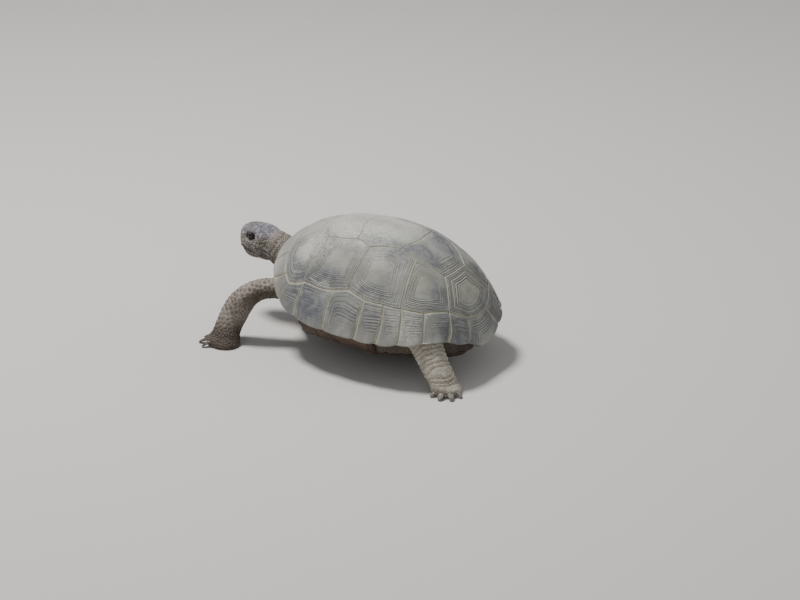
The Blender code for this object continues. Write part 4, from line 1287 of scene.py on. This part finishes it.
# -------------------------------------------------------------------- scales
def scale_size(points, places):
    """Width of a scale, in metres, for each place on the skin."""
    x, y, z = (points - SHIFT).T
    turn, along, core = places["turn"], places["along"], places["core"]
    low_leg = 1 - smooth(0.010, 0.030, z)
    outer = 0.5 + 0.5 * np.cos(turn)
    fore_size = 0.0036 + 0.0024 * smooth(0.10, 0.55, outer)
    upper = smooth(0.0, 0.030, along)
    fore_size = fore_size * upper + 0.0030 * (1 - upper)
    fore_size = fore_size * (1 - low_leg) + 0.0031 * low_leg
    back = 0.5 - 0.5 * np.cos(turn)
    hind_size = 0.0018 + 0.0010 * smooth(0.5, 0.9, back) * (1 - low_leg)
    hind_size = hind_size + 0.0005 * low_leg
    head_size = 0.0020 + 0.0010 * smooth(0.1085, 0.1150, z)
    eye = np.hypot(y - EYE_SPOT[1], z - EYE_SPOT[2])
    near_eye = (1 - smooth(0.0055, 0.0095, eye)) * (np.abs(x) > 0.010)
    head_size = head_size * (1 - 0.42 * near_eye)
    head_size = head_size * (1 - 0.22 * smooth(-0.196, -0.206, y))
    size = np.full(len(points), 0.0024)
    for name, own in (("front", fore_size), ("hind", hind_size),
                      ("head", head_size), ("neck", 0.0021)):
        size = np.where(on_part(places, name), own, size)
    return size * (1 - core) + 0.0025 * core


def bare_skin(points):
    """Where no scale grows: eye openings, beak, soles, hidden walls."""
    x, y, z = (points - SHIFT).T
    bare = z < 0.0016
    bare |= (y < FACE_END) & (np.abs(x) > BESIDE_EYE) & (almond(y, z) < 1.30)
    bare |= beak_share(y, z) > 0.35
    local = from_shell(points)
    around = np.arctan2(local[:, 0], -local[:, 1])
    bare |= (local[:, 2] > rim_height(around) + 0.0055) & (y > -0.144)
    below = (local[:, 2] < BELLY_TOP + 0.0030)
    half = belly_half_width(local[:, 1]) - 0.0065
    below &= (np.abs(local[:, 0]) < half) & (local[:, 1] > -0.122)
    bare |= below & (local[:, 1] < 0.108)
    return bare


def beak_share(y, z):
    """1 on the horny edges of the jaws, 0 elsewhere."""
    gap = z - mouth_level(y)
    reach = 0.0046 * smooth(-0.178, -0.206, y) + 0.0008
    upper = 1 - smooth(reach * 0.75, reach, gap)
    lower = 1 - smooth(reach * 0.70, reach * 0.95, -gap)
    return np.where(gap > 0, upper, lower) * (1 - smooth(-0.186, -0.180, y))


def sample_skin(points, faces, density):
    """Random places spread evenly by area over the skin."""
    rng = np.random.default_rng(7)
    tris = np.array([(f[0], f[i], f[i + 1]) for f in faces
                     for i in range(1, len(f) - 1)])
    a, b, c = (points[tris[:, k]] for k in range(3))
    area = np.linalg.norm(np.cross(b - a, c - a), axis=1) / 2
    area[area > 4e-6] = 0
    count = int(area.sum() * density)
    pick = rng.choice(len(tris), count, p=area / area.sum())
    u, v = rng.random(count), rng.random(count)
    over = u + v > 1
    u[over], v[over] = 1 - u[over], 1 - v[over]
    weights = np.stack([1 - u - v, u, v], -1)
    return tris[pick], weights


def tree_of(points):
    """Points sorted for nearest-neighbour searches."""
    tree = KDTree(len(points))
    for i, p in enumerate(points):
        tree.insert(p, i)
    tree.balance()
    return tree


def spread_scales(spots, size):
    """Picks well spaced places and evens them out."""
    tree = tree_of(spots)
    alive = np.ones(len(spots), bool)
    order = np.random.default_rng(9).permutation(len(spots))
    chosen = []
    for i in order:
        if not alive[i]:
            continue
        chosen.append(i)
        for _, j, _ in tree.find_range(spots[i], size[i] * 0.80):
            alive[j] = False
    sites = spots[chosen]
    for _ in range(2):
        near = tree_of(sites)
        owner = np.array([near.find(p)[1] for p in spots])
        weight = size**-2.0
        total = np.bincount(owner, weight, len(sites))
        moved = summed(owner, weight[:, None] * spots, len(sites))
        sites = np.where(total[:, None] > 0,
                         moved / np.maximum(total, 1e-30)[:, None], sites)
    return sites


# corners of each scale's outline, by the part that carries it
SCALE_SIDES = {"head": 12, "front_left": 12, "front_right": 12}
PLAIN_SIDES = 9
SCALE_NEIGHBOURS = 14
# soft parts with scales, in the order of PARTS, and the solids they cover
COATED = {"neck": ["neck"], "head": ["head", "lower_jaw"]}
COATED.update({foot: ["leg_" + foot, "foot_" + foot] for foot in FEET})
COATED.update(tail=["tail"], opening_front=["trunk"], opening_rear=["trunk"])
# samples on a square metre of skin, from which the scales' places are picked
SAMPLE_DENSITY = 3.6e6
# share of the way to the rim, share of the height
SCALE_RINGS = ((0.42, 0.97), (0.74, 0.80), (0.93, 0.40), (1.0, -0.30))


def landed(surface, spots):
    """Nearest places of the skin and the outward ways there."""
    found = [surface.find_nearest(p) for p in spots]
    return np.array([f[0] for f in found]), np.array([f[1] for f in found])


def scale_radius(turn, facing, reach, wide):
    """Size of each scale in each direction, up to its neighbours."""
    lean = np.cos(turn - facing[..., None])
    pull = ((np.clip(lean, 0, None) / reach[..., None])**9).sum(1)
    pull = pull + (1 / (wide * 0.95))**9
    return np.clip(pull**(-1 / 9) - 0.00010 - 0.012 * wide, 0.0003, None)


def grow_scales(points, faces):
    """Solid raised scales over the skin, one joined mesh for each part."""
    corners, weights = sample_skin(points, faces, SAMPLE_DENSITY)
    spots = (points[corners] * weights[..., None]).sum(1)
    size = scale_size(spots, locate(spots))
    keep = ~bare_skin(spots)
    surface = BVHTree.FromPolygons(points.tolist(), faces)
    sites, normals = landed(surface, spread_scales(spots[keep], size[keep]))
    places = locate(sites)
    wide = scale_size(sites, places)
    tree = tree_of(sites)
    near = np.array([[j for _, j, _ in tree.find_n(p, SCALE_NEIGHBOURS + 1)][1:]
                     for p in sites])
    down = scale_lie(places)
    first = unit(down - normals * (down * normals).sum(1)[:, None])
    second = np.cross(normals, first)
    offset = sites[near] - sites[:, None]
    a = (offset * first[:, None]).sum(2)
    b = (offset * second[:, None]).sum(2)
    reach = np.hypot(a, b) * wide[:, None] / (wide[:, None] + wide[near])
    facing = np.arctan2(b, a)
    rng = np.random.default_rng(21)
    height = scale_height(places, wide) * (0.85 + 0.3 * rng.random(len(sites)))
    tone = rng.random(len(sites))
    group = np.where(places["core"] > 0.5,
                     len(PART_NAMES) + (sites[:, 1] > 0), places["part"])
    for index, name in enumerate(COATED):
        own = group == index
        sides = SCALE_SIDES.get(name, PLAIN_SIDES)
        turn = np.arange(sides) * 2 * math.pi / sides
        site, normal, tall = (x[own][:, None] for x in (sites, normals, height))
        way = (first[own][:, None] * np.cos(turn)[:, None]
               + second[own][:, None] * np.sin(turn)[:, None])
        radius = scale_radius(turn, facing[own], reach[own], wide[own][:, None])
        edge = site + way * radius[..., None]
        onto, out = (x.reshape(way.shape)
                     for x in landed(surface, edge.reshape(-1, 3)))
        # a little of the plain outline keeps corners from falling together
        delta = onto * 0.96 + edge * 0.04 - site
        drop = (delta * normal).sum(2)[..., None]
        plane = delta - normal * drop
        own_places = {key: value[own] for key, value in places.items()}
        tilt = scale_tilt(own_places)[:, None] * np.cos(turn)
        rings = [site + normal * tall[..., None]]
        for share, rise in SCALE_RINGS:
            mean = normal * (1 - share) + out * share
            lift = tall * (rise + tilt * share * (rise > 0))
            rings.append(site + plane * share + normal * drop * share**2
                         + mean * lift[..., None])
        build_scales(name, rings, tone[own], own_places)


def scale_lie(places):
    """Way toward the far end of the part that carries the scale."""
    way = np.zeros((len(places["part"]), 3))
    for index, name in enumerate(PART_NAMES):
        _, runs, _, _, _, along = AXES[name]
        here = places["part"] == index
        pick = np.clip(np.searchsorted(along, places["along"][here]), 0,
                       len(runs) - 1)
        way[here] = runs[pick]
    return way


def scale_height(places, wide):
    """How far a scale stands up, in metres."""
    share = np.where(on_part(places, "front"), 0.150, 0.20)
    share = np.where(on_part(places, "head"), 0.13, share)
    return wide * share + 0.00006


def scale_tilt(places):
    """How much the far edge of a scale is raised, as a share of its height."""
    fore = on_part(places, "front") * (1 - places["core"])
    return 0.38 * fore * smooth(0.03, 0.06, places["along"]) + 0.08


def build_scales(name, rings, tone, places):
    """One mesh of closed scales, from peak to foot, with their map OFBake."""
    count, sides = rings[-1].shape[:2]
    points = np.concatenate(rings, axis=1)
    per = points.shape[1]
    k = np.arange(sides)
    n = (k + 1) % sides
    starts = np.arange(count)[:, None, None] * per
    tops = np.stack([np.zeros(sides, int), 1 + k, 1 + n], -1)
    faces = (tops[None] + starts).reshape(-1, 3).tolist()
    for a in range(1, per - sides, sides):
        b = a + sides
        quads = np.stack([a + k, b + k, b + n, a + n], -1)
        faces += (quads[None] + starts).reshape(-1, 4).tolist()
    foot = (per - sides + k)[::-1]
    faces += (foot[None] + starts[..., 0]).tolist()
    shares = np.array([0.0] + [s for s, _ in SCALE_RINGS for _ in range(sides)])
    flat = points.reshape(-1, 3)
    values = {"rim": np.tile(shares, count), "tone": np.repeat(tone, per)}
    values.update(skin_marks(flat))
    piece = make_piece("scales_" + name, flat, faces, COATED[name],
                       values, [coat_material])
    along, turn = places["along"], places["turn"]
    far = along - 0.02 * (places["near"] - 1) * places["core"]
    v = 0.01 + 0.98 * (far - far.min()) / (far.max() - far.min())
    u = 0.01 + 0.98 * (turn / (2 * math.pi) + 0.5)
    if name.startswith("opening"):
        u = (u + places["part"]) / len(PART_NAMES)
    turns = np.tile(k * 2 * math.pi / sides, len(SCALE_RINGS))
    angle = np.concatenate([[0], turns])
    du, dv = shares * np.cos(angle) * 0.0015, shares * np.sin(angle) * 0.0015
    spot = np.stack([(u[:, None] + du).ravel(), (v[:, None] + dv).ravel()], -1)
    layer = piece.data.uv_layers.new(name="OFBake")
    loops = np.empty(len(piece.data.loops), np.int32)
    piece.data.loops.foreach_get("vertex_index", loops)
    layer.data.foreach_set("uv", spot[loops].astype(np.float32).ravel())


def skin_marks(points, crease=None):
    """The markings that skin and scales share, as numbers from 0 to 1; core, inner, foot,
    lid and crease mark where painted shade goes, foot and lid partly over the skin's own
    dark colour.
    """
    x, y, z = (points - SHIFT).T
    places = locate(points)
    bare = 1 - places["core"]
    fore, hind = on_part(places, "front"), on_part(places, "hind")
    front = on_part(places, "neck", "head")
    head = smooth(-0.150, -0.166, y) * front
    # foot: the feet and lower legs, coloured dark brown, partly the skin's own colour and
    # partly painted shade
    foot_low, foot_top = np.where(fore, [[0.014], [0.046]], [[0.008], [0.030]])
    foot = (1 - smooth(foot_low, foot_top, z)) * (fore | hind) * bare
    # inner: the inner, trailing side of the forelimbs, which gets painted shade in the skin
    # colour
    inner = fore * smooth(0.34, 0.64, 0.5 - 0.5 * np.cos(places["turn"]))
    inner = inner * (1 - smooth(0.060, 0.100, places["along"]))
    # throat: the underside of the head and neck, which gets painted shade as part of inner
    throat = (1 - smooth(0.078, 0.094, z)) * front * bare
    # lid: a dark ring round each eye opening, partly dark lids and partly painted shade of
    # the deep-set sockets
    lid = (1 - smooth(1.25, 2.0, almond(y, z))) * head
    return {"lid": lid * (np.abs(x) > BESIDE_EYE), "hind": hind, "head": head, "foot": foot,
            "crown": smooth(0.104, 0.114, z) * head, "core": places["core"],
            "ear": bell((y + 0.168) / 0.007, (z - 0.1035) / 0.006) * head,
            "beak": beak_share(y, z) * head,
            "inner": np.maximum(inner, 0.55 * throat),
            "crease": np.zeros(len(points)) if crease is None else crease}


# --------------------------------------------------------- eyes, claws, belly
def make_eyes():
    """Two eyeballs, a little pointed at the pupil."""
    rings, count = 40, 48
    tilt, turn = np.meshgrid(np.pi * np.arange(1, rings) / rings,
                             2 * np.pi * np.arange(count) / count, indexing="ij")
    tilts = np.concatenate([tilt.ravel(), [0, np.pi]])
    turns = np.concatenate([turn.ravel(), [0, 0]])
    swell = 1 + 0.035 * np.exp(-(tilts / 0.55)**2)
    last = (rings - 2) * count
    faces = grid_faces(rings - 1, count, closed=True)
    faces += fan(last + count, range(count))
    faces += fan(last + count + 1, range(last, last + count))
    for side, flip in (("left", 1), ("right", -1)):
        axis = Vector((flip * 0.93, -0.33, 0.06)).normalized()
        across = axis.cross(Vector((0, 0, 1))).normalized()
        spread = np.stack([np.cos(tilts), np.sin(tilts) * np.cos(turns),
                           np.sin(tilts) * np.sin(turns)], -1)
        ways = spread @ np.array([axis, across, across.cross(axis)])
        centre = EYE_SPOT * np.array([flip, 1, 1]) + SHIFT
        make_piece("eyeball_" + side, centre + ways * EYE_SIZE * swell[:, None],
                   faces, ["eye_" + side], {"tilt": tilts},
                   [eye_material])


def claw_roots(foot):
    """Root and way of each claw of a foot."""
    count, spread = FEET[foot][:2]
    stations, forward = PARTS[foot][:2]
    middle = stations[-1][:3] + SHIFT
    forward = unit(np.array(forward))
    side_way = np.cross(UP, forward)
    front, broad = stations[-2][3], stations[-2][4]
    roots = []
    for index in range(count):
        turn = math.radians(spread) * (index / (count - 1) * 2 - 1)
        way = forward * math.cos(turn) + side_way * math.sin(turn)
        radius = 1 / math.hypot(math.cos(turn) / front, math.sin(turn) / broad)
        root = middle + way * (radius - 0.0045) + np.array([0, 0, 0.0066])
        roots.append((root, way))
    return roots


def claw_mesh(base, way, length, width, seed):
    """A broad, slightly bent, blunt claw from its root to its worn tip."""
    rows, count = 22, 24
    across = unit(np.cross(way, UP))
    points, values = [], []
    for r in range(rows):
        t = r / (rows - 1)
        drop = -base[2] * 0.80 * t**1.6
        spot = base + way * (length * t) + np.array([0, 0, drop])
        taper = (1 - 0.30 * t) * math.sqrt(max(0.0, 1 - smooth(0.74, 1.14, t)))
        half_wide = width / 2 * taper
        half_high = width * 0.38 * (1 - 0.40 * t) * taper
        for k in range(count):
            turn = 2 * math.pi * k / count
            rise = math.sin(turn)
            rise = rise * (1.0 if rise > 0 else 0.55)
            wear = 1 + 0.04 * math.sin(seed * 3.1 + t * 19)
            wear = wear + 0.03 * math.sin(turn * 5 + seed)
            spot_k = (spot + across * half_wide * wear * math.cos(turn)
                      + np.array([0, 0, half_high * wear * rise]))
            spot_k[2] = max(spot_k[2], 0.0004)
            points.append(spot_k)
            values.append(t)
    hub = len(points)
    points.append(np.mean(points[:count], axis=0))
    points.append(np.mean(points[-1 - count:-1], axis=0) + way * 0.0002)
    faces = reverse(grid_faces(rows, count, closed=True))
    faces += fan(hub, range(count)) + fan(hub + 1, range(hub - count, hub))
    return points, faces, values + [0, 1]


def make_claws():
    """All claws of a foot in one piece; the outer ones are smaller."""
    for foot, (count, _, length, width) in FEET.items():
        all_points, all_faces, along = [], [], []
        for index, (root, way) in enumerate(claw_roots(foot)):
            share = index / (count - 1) * 2 - 1
            own = 1 - 0.22 * share**2
            points, faces, values = claw_mesh(root, way, length * own,
                                              width * own, index)
            start = len(all_points)
            all_points += points
            all_faces += [tuple(v + start for v in f) for f in faces]
            along += values
        make_piece("claws_" + foot, all_points, all_faces, ["foot_" + foot],
                   {"along": along},
                   [claw_materials[foot.split("_")[0]]])


def belly_section(y):
    """Half outline of the belly across the body at one station."""
    half = float(belly_half_width(y))
    over = np.clip((y - BRIDGE_FROM) / 0.012, 0, 1)
    over = float(over * np.clip((BRIDGE_TO + 0.012 - y) / 0.012, 0, 1))
    low, top = BELLY_LEVEL, BELLY_TOP
    rise = over * 0.0255
    outer = [(0.0, low + 0.0006), (half * 0.55, low), (half * 0.86, low + 0.0006),
             (half, low + 0.003 + 0.10 * rise),
             (half + 0.0075 * over, low + 0.004 + 0.45 * rise),
             (half + 0.0110 * over, low + 0.005 + rise)]
    inner = [(half - 0.001 + 0.0065 * over, low + 0.005 + rise),
             (half - 0.0016 + 0.003 * over, low + 0.0047 + 0.55 * rise),
             (half - 0.005, top - 0.0003), (half * 0.5, top - 0.0003),
             (0.0, top - 0.0003)]
    return np.array(outer), np.array(inner)


BELLY_BANDS = (("gular", -0.129, -0.100), ("humeral", -0.100, -0.062),
               ("pectoral", -0.062, -0.040), ("abdominal", -0.040, 0.038),
               ("femoral", 0.038, 0.082), ("anal", 0.082, 0.116))


def spread_points(outline, count):
    """The same outline with evenly spaced points."""
    run = run_along(outline)
    where = np.linspace(0, run[-1], count)
    return np.stack([np.interp(where, run, outline[:, k]) for k in (0, 1)], -1)


def make_belly():
    """Six bands of belly plates, each a closed shell across the body."""
    wide, thin = 56, 12
    last, gap = wide + thin - 1, 0.0002
    for name, start, end in BELLY_BANDS:
        count = max(10, int((end - start) / 0.0011))
        rings, values = [], []
        for y in np.linspace(start + gap, end - gap, count):
            outer, inner = belly_section(float(np.clip(y, -0.1288, 0.1158)))
            outer = spread_points(outer, wide)
            inner = spread_points(inner, thin)
            seam = np.minimum(np.abs(outer[:, 0]) + 0.00015,
                              min(y - start, end - y))
            share = 1 - np.clip(seam / (0.5 * (end - start)), 0, 1)
            spots = np.insert(outer, 1, y, axis=1)
            relief, _, _ = ring_relief(share, seam, spots, 0.5, 5,
                                       seed_of(name))
            outer[:, 1] -= relief + 0.0004
            half = np.insert(np.concatenate([outer, inner]), 1, y, axis=1)
            rings.append(np.concatenate([half, half[-2:0:-1] * (-1, 1, 1)]))
            row = np.concatenate([seam * 1000, np.full(thin, 1.0)])
            values.append(np.concatenate([row, row[:1:-1]]))
        size = len(rings[0])
        faces = grid_faces(count, size, closed=True)
        for row, way in ((0, 1), (count - 1, -1)):
            for k in range(wide - 1):
                a, b = (last - round(n / (wide - 1) * (thin - 1))
                        for n in (k, k + 1))
                for side, cap in ((1, (k, a, b, k + 1)), (-1, (k, k + 1, b, a))):
                    cap = [row * size + side * i % size
                           for i in dict.fromkeys(cap)]
                    faces.append(cap[::way])
        make_piece("plate_" + name, carry(np.concatenate(rings)), faces, [name],
                   {"seam": np.concatenate(values)},
                   [belly_and_shade_material])


# ---------------------------------------------------------------- materials
def tint(red, green, blue):
    """A colour as seen on a screen, 0 to 255, as the light it reflects."""
    def linear(value):
        value = value / 255
        return value / 12.92 if value < 0.04045 else ((value + 0.055) / 1.055)**2.4
    return linear(red), linear(green), linear(blue), 1.0


class Look:
    """A material whose colour is laid down coat by coat."""

    def __init__(self, name, gloss=0.5):
        self.material = bpy.data.materials.new(name)
        self.material.use_nodes = True
        self.tree = self.material.node_tree
        self.shader = self.tree.nodes["Principled BSDF"]
        self.shader.inputs["Specular IOR Level"].default_value = gloss
        self.place = self.node("TexCoord").outputs["Object"]
        self.colour = None

    def node(self, kind, **settings):
        node = self.tree.nodes.new("ShaderNode" + kind)
        for key, value in settings.items():
            setattr(node, key, value)
        return node

    def put(self, socket, value):
        """Links or sets a socket; three numbers are a colour for tint()."""
        if isinstance(value, bpy.types.NodeSocket):
            self.tree.links.new(value, socket)
        else:
            value = tint(*value) if isinstance(value, tuple) else value
            socket.default_value = value

    def value(self, *names):
        """The piece's own numbers of these names."""
        nodes = [self.node("Attribute", attribute_name=name) for name in names]
        fields = [node.outputs["Fac"] for node in nodes]
        return fields if len(fields) > 1 else fields[0]

    def noise(self, scale, detail=3.0, rough=0.55, bent=0.0):
        node = self.node("TexNoise")
        self.put(node.inputs["Vector"], self.place)
        for key, number in (("Scale", scale), ("Detail", detail),
                            ("Roughness", rough), ("Distortion", bent)):
            node.inputs[key].default_value = number
        return node.outputs["Fac"]

    def bands(self, along):
        """Noise that changes only with one number."""
        node = self.node("TexNoise", noise_dimensions="1D")
        self.put(node.inputs["W"], along)
        node.inputs["Scale"].default_value = 1.0
        return node.outputs["Fac"]

    def math(self, way, a, b=0.0, c=0.0):
        node = self.node("Math", operation=way)
        for socket, value in zip(node.inputs, (a, b, c)):
            self.put(socket, value)
        return node.outputs[0]

    def times(self, *values):
        total = values[0]
        for value in values[1:]:
            total = self.math("MULTIPLY", total, value)
        return total

    def rest(self, value):
        """What is left of 1."""
        return self.math("SUBTRACT", 1.0, value)

    def step(self, value, low, high, start=0.0, end=1.0):
        """Soft step from start to end as value goes from low to high."""
        node = self.node("MapRange", interpolation_type="SMOOTHSTEP")
        for socket, item in zip(node.inputs, (value, low, high, start, end)):
            self.put(socket, item)
        return node.outputs["Result"]

    def mix(self, share, first, second):
        node = self.node("Mix", data_type="RGBA", clamp_factor=True)
        for index, item in ((0, share), (6, first), (7, second)):
            self.put(node.inputs[index], item)
        return node.outputs[2]

    def base(self, share, first, second):
        """The first coat, from one colour to another."""
        self.colour = self.mix(share, first, second)

    def coat(self, colour, *shares):
        """Lays a colour over the others as far as the shares go."""
        self.colour = self.mix(self.times(*shares), self.colour, colour)

    def finish(self, roughness, height=None, depth=0.0):
        """Wires colour, roughness and a bump this deep, in metres."""
        self.put(self.shader.inputs["Base Color"], self.colour)
        self.put(self.shader.inputs["Roughness"], roughness)
        if height is not None:
            bump = self.node("Bump")
            bump.inputs["Distance"].default_value = depth
            self.put(bump.inputs["Height"], height)
            self.put(self.shader.inputs["Normal"], bump.outputs["Normal"])
        return self.material


def scute_look():
    """Worn grey horn with growth rings, slate, tan and pale patches; the low slate ones are
    partly painted shade, the pale ones on the crown partly painted highlight.
    """
    look = Look("scute", 0.35)
    phase, clear, seam = look.value("phase", "clear", "seam")
    edge, tone, slate = look.value("edge", "tone", "slate")
    tan, pale = look.value("tan", "pale")
    cloud = look.noise(34, 6, 0.62, 0.4)
    drift = look.noise(90, 4, 0.6, 0.6)
    grain = look.noise(850, 3, 0.7)
    look.base(look.step(cloud, 0.36, 0.66), (161, 162, 157), (136, 136, 131))
    # pale: worn pale horn, and on the crown partly painted highlight where the top is lit
    look.coat((190, 190, 182), pale, look.step(cloud, 0.3, 0.6, 0.4, 0.8))
    # slate: blue-grey horn, and low on the marginals partly painted shade
    look.coat((82, 86, 98), slate, look.step(drift, 0.30, 0.58, 0.45, 1.0), 0.92)
    look.coat((156, 151, 130), tan, look.step(drift, 0.35, 0.6, 0.35, 1.0), 0.75)
    ring = look.bands(look.math("MULTIPLY_ADD", tone, 60.0,
                                look.times(phase, 1.7)))
    look.coat((78, 78, 79), look.step(ring, 0.50, 0.62), clear, 0.55)
    look.coat((178, 178, 170), look.step(ring, 0.46, 0.34), clear, 0.45)
    wave = look.math("ABSOLUTE", look.math("SINE", look.times(phase, math.pi)))
    look.coat((42, 41, 41), look.step(wave, 0.05, 0.42, 1.0, 0.0),
              look.step(clear, 0.15, 0.8),
              look.step(drift, 0.34, 0.56, 0.45, 1.0), 0.9)
    worn = look.step(look.noise(420, 4, 0.7, 1.2), 0.46, 0.60)
    look.coat((206, 206, 196), pale, worn, 0.9)
    look.coat((204, 203, 192), look.step(look.noise(330, 3, 0.6, 0.9), 0.64, 0.72),
              look.step(look.noise(55, 2), 0.50, 0.62), 0.8)
    look.coat((88, 84, 78), look.step(look.noise(520, 2, 0.5), 0.66, 0.74), 0.5)
    look.coat((160, 157, 140), edge, look.step(drift, 0.30, 0.62, 0.35, 0.85), 0.8)
    wander = look.math("MULTIPLY_ADD", drift, 2.6, look.math("ADD", seam, -1.3))
    look.coat((180, 177, 158), look.step(wander, 0.4, 1.8, 1.0, 0.0),
              look.step(cloud, 0.38, 0.60, 0.45, 0.85))
    look.coat((120, 116, 108), look.step(grain, 0.2, 0.8, 0.0, 0.22))
    height = look.math("ADD", look.times(grain, 0.5), look.noise(1900, 2, 0.6))
    return look.finish(look.step(drift, 0.3, 0.7, 0.50, 0.72), height, 0.00016)


def seam_look():
    """Pale young horn with dirt in it."""
    look = Look("seam")
    patch, grain = look.noise(60, 4, 0.6, 0.5), look.noise(700, 3, 0.6)
    look.base(look.step(patch, 0.40, 0.62), (184, 178, 156), (130, 124, 108))
    look.coat((110, 103, 88), look.step(grain, 0.45, 0.75, 0.0, 0.7))
    return look.finish(look.step(grain, 0.2, 0.8, 0.6, 0.8), grain, 0.0002)


def skin_look(name, scaled):
    """Skin and its scales: the same markings on both, with painted shade inside the shell's
    openings, on the forelimbs' inner sides, the throat, the feet, round the eyes and in the
    folds.
    """
    look = Look(name, 0.30)
    hind, head, crown, foot = look.value("hind", "head", "crown", "foot")
    core, beak, ear, inner = look.value("core", "beak", "ear", "inner")
    crease, lid = look.value("crease", "lid")
    cloud = look.noise(70, 5, 0.6, 0.5)
    drift = look.noise(240, 4, 0.6, 0.5)
    grain = look.noise(1300, 3, 0.6)
    look.base(look.step(drift, 0.40, 0.62), (184, 178, 173), (146, 139, 135))
    look.coat((72, 65, 64), look.step(look.noise(430, 3, 0.6, 0.8), 0.48, 0.58),
              0.75)
    look.coat(look.mix(look.step(drift, 0.38, 0.62), (164, 163, 169),
                       (124, 124, 138)), crown)
    look.coat((132, 126, 104), ear, look.step(drift, 0.35, 0.6, 0.5, 1.0))
    face = look.colour
    look.base(look.step(cloud, 0.38, 0.62), (172, 163, 153), (144, 135, 126))
    look.coat(look.mix(look.step(cloud, 0.36, 0.62), (212, 205, 190),
                       (188, 180, 165)), hind)
    look.coat(face, head)
    # feet and lower legs dark brown: partly the skin's own colour, partly painted shade
    look.coat(look.mix(look.step(drift, 0.40, 0.60), (84, 73, 64), (60, 52, 46)),
              foot, look.rest(look.times(hind, 0.75)))
    bold = look.times(look.rest(look.math("MAXIMUM", hind, head)),
                      look.rest(foot))
    if scaled:
        rim, tone = look.value("rim", "tone")
        look.coat((92, 84, 78), look.step(rim, 0.60, 0.97, 1.0, 0.0), bold,
                  look.step(tone, 0.1, 0.7, 0.50, 0.90))
        look.coat((186, 179, 168), look.step(rim, 0.72, 1.0),
                  look.step(bold, 0.0, 1.0, 0.25, 0.80),
                  look.step(foot, 0.0, 0.8, 1.0, 0.2))
        look.coat(look.mix(crown, (62, 56, 57), (72, 72, 92)), head,
                  look.step(rim, 0.6, 0.95, 1.0, 0.35),
                  look.step(tone, 0.42, 0.60),
                  look.step(crown, 0.0, 1.0, 0.90, 0.60))
        look.coat((96, 90, 86), look.step(tone, 0.0, 1.0, 0.0, 0.25))
    else:
        look.coat((84, 76, 70), look.step(drift, 0.2, 0.8, 0.35, 0.65),
                  look.rest(bold), look.step(hind, 0.0, 1.0, 1.0, 0.6))
        look.coat((138, 130, 121), bold, look.step(drift, 0.3, 0.7, 0.55, 0.85))
    # painted shade in the valleys of the skin's folds
    look.coat((52, 46, 41), crease, 0.75)
    # painted shade: a dark brown over the skin walls inside the shell's openings (core),
    # and over the forelimbs' inner sides and the throat (inner)
    painted_shade_colour = look.mix(drift, (86, 76, 66), (58, 50, 43))
    look.coat(painted_shade_colour, core, 0.85)
    look.coat(painted_shade_colour, inner, 0.85)
    look.coat(look.mix(look.step(drift, 0.38, 0.62), (84, 76, 68), (52, 46, 42)),
              beak)
    # dark ring round the eyes: partly dark lids, partly painted shade of the sockets
    look.coat((50, 45, 44), lid, 0.85)
    look.coat((120, 110, 96), look.step(look.noise(600, 4, 0.7), 0.52, 0.70), 0.35)
    return look.finish(look.step(drift, 0.3, 0.7, 0.55, 0.75), grain, 0.00012)


def eye_look():
    """Dark glossy eye: black pupil, brown streaked iris, dark rim."""
    look = Look("eye", 0.2)
    tilt = look.value("tilt")
    streak = look.noise(900, 3, 0.6, 1.0)
    iris = look.mix(look.step(streak, 0.35, 0.65), (58, 44, 32), (30, 24, 19))
    look.base(look.step(tilt, 0.42, 0.50), (8, 7, 7), iris)
    look.coat((24, 20, 18), look.step(tilt, 0.80, 0.92))
    look.shader.inputs["Coat Weight"].default_value = 0.35
    look.shader.inputs["Coat Roughness"].default_value = 0.02
    return look.finish(look.step(streak, 0.2, 0.8, 0.10, 0.22))


def claw_look(name, light, dark):
    """Streaked horn, darker with soil at the root."""
    look = Look(name)
    streak, fine = look.noise(260, 4, 0.6, 0.8), look.noise(1100, 3, 0.6)
    look.base(look.step(streak, 0.38, 0.62), light, dark)
    look.coat((66, 57, 50), look.step(look.value("along"), 0.15, 0.55, 0.75, 0.0))
    look.coat((74, 65, 57), look.step(fine, 0.5, 0.75, 0.0, 0.6))
    return look.finish(look.step(fine, 0.2, 0.8, 0.42, 0.62), fine, 0.00016)


def belly_and_shade_look():
    """Brown belly horn darkened further as painted shade under the shell, with darker
    seams.
    """
    look = Look("belly")
    cloud, drift = look.noise(45, 5, 0.6, 0.8), look.noise(190, 4, 0.6, 0.5)
    # the base browns are partly the horn's colour and partly painted shade under the shell
    look.base(look.step(cloud, 0.36, 0.64), (80, 60, 46), (52, 40, 32))
    look.coat((92, 74, 56), look.step(drift, 0.48, 0.66, 0.0, 0.6))
    look.coat((44, 36, 30), look.step(look.value("seam"), 0.2, 1.1, 0.8, 0.0))
    return look.finish(look.step(drift, 0.3, 0.7, 0.45, 0.7),
                       look.noise(900, 3, 0.6), 0.0002)


scute_material = scute_look()
seam_material = seam_look()
skin_material = skin_look("skin", False)
coat_material = skin_look("coat", True)
eye_material = eye_look()
# the front claws' darker colours are painted shade of the shaded front feet
claw_materials = {"front": claw_look("claw_front_shaded", (92, 80, 70), (58, 50, 43)),
                  "hind": claw_look("claw_hind", (128, 124, 117), (92, 87, 80))}
belly_and_shade_material = belly_and_shade_look()


make_camera()
make_studio()
make_plates()
make_seam_bed()
skin_points, skin_faces, crease_shade = shape_skin()
flesh = ["head", "lower_jaw", "neck", "trunk", "tail"]
flesh += ["leg_" + foot for foot in FEET] + ["foot_" + foot for foot in FEET]
make_piece("skin", skin_points, skin_faces, flesh,
           skin_marks(skin_points, crease_shade), [skin_material])
grow_scales(skin_points, skin_faces)
make_eyes()
make_claws()
make_belly()
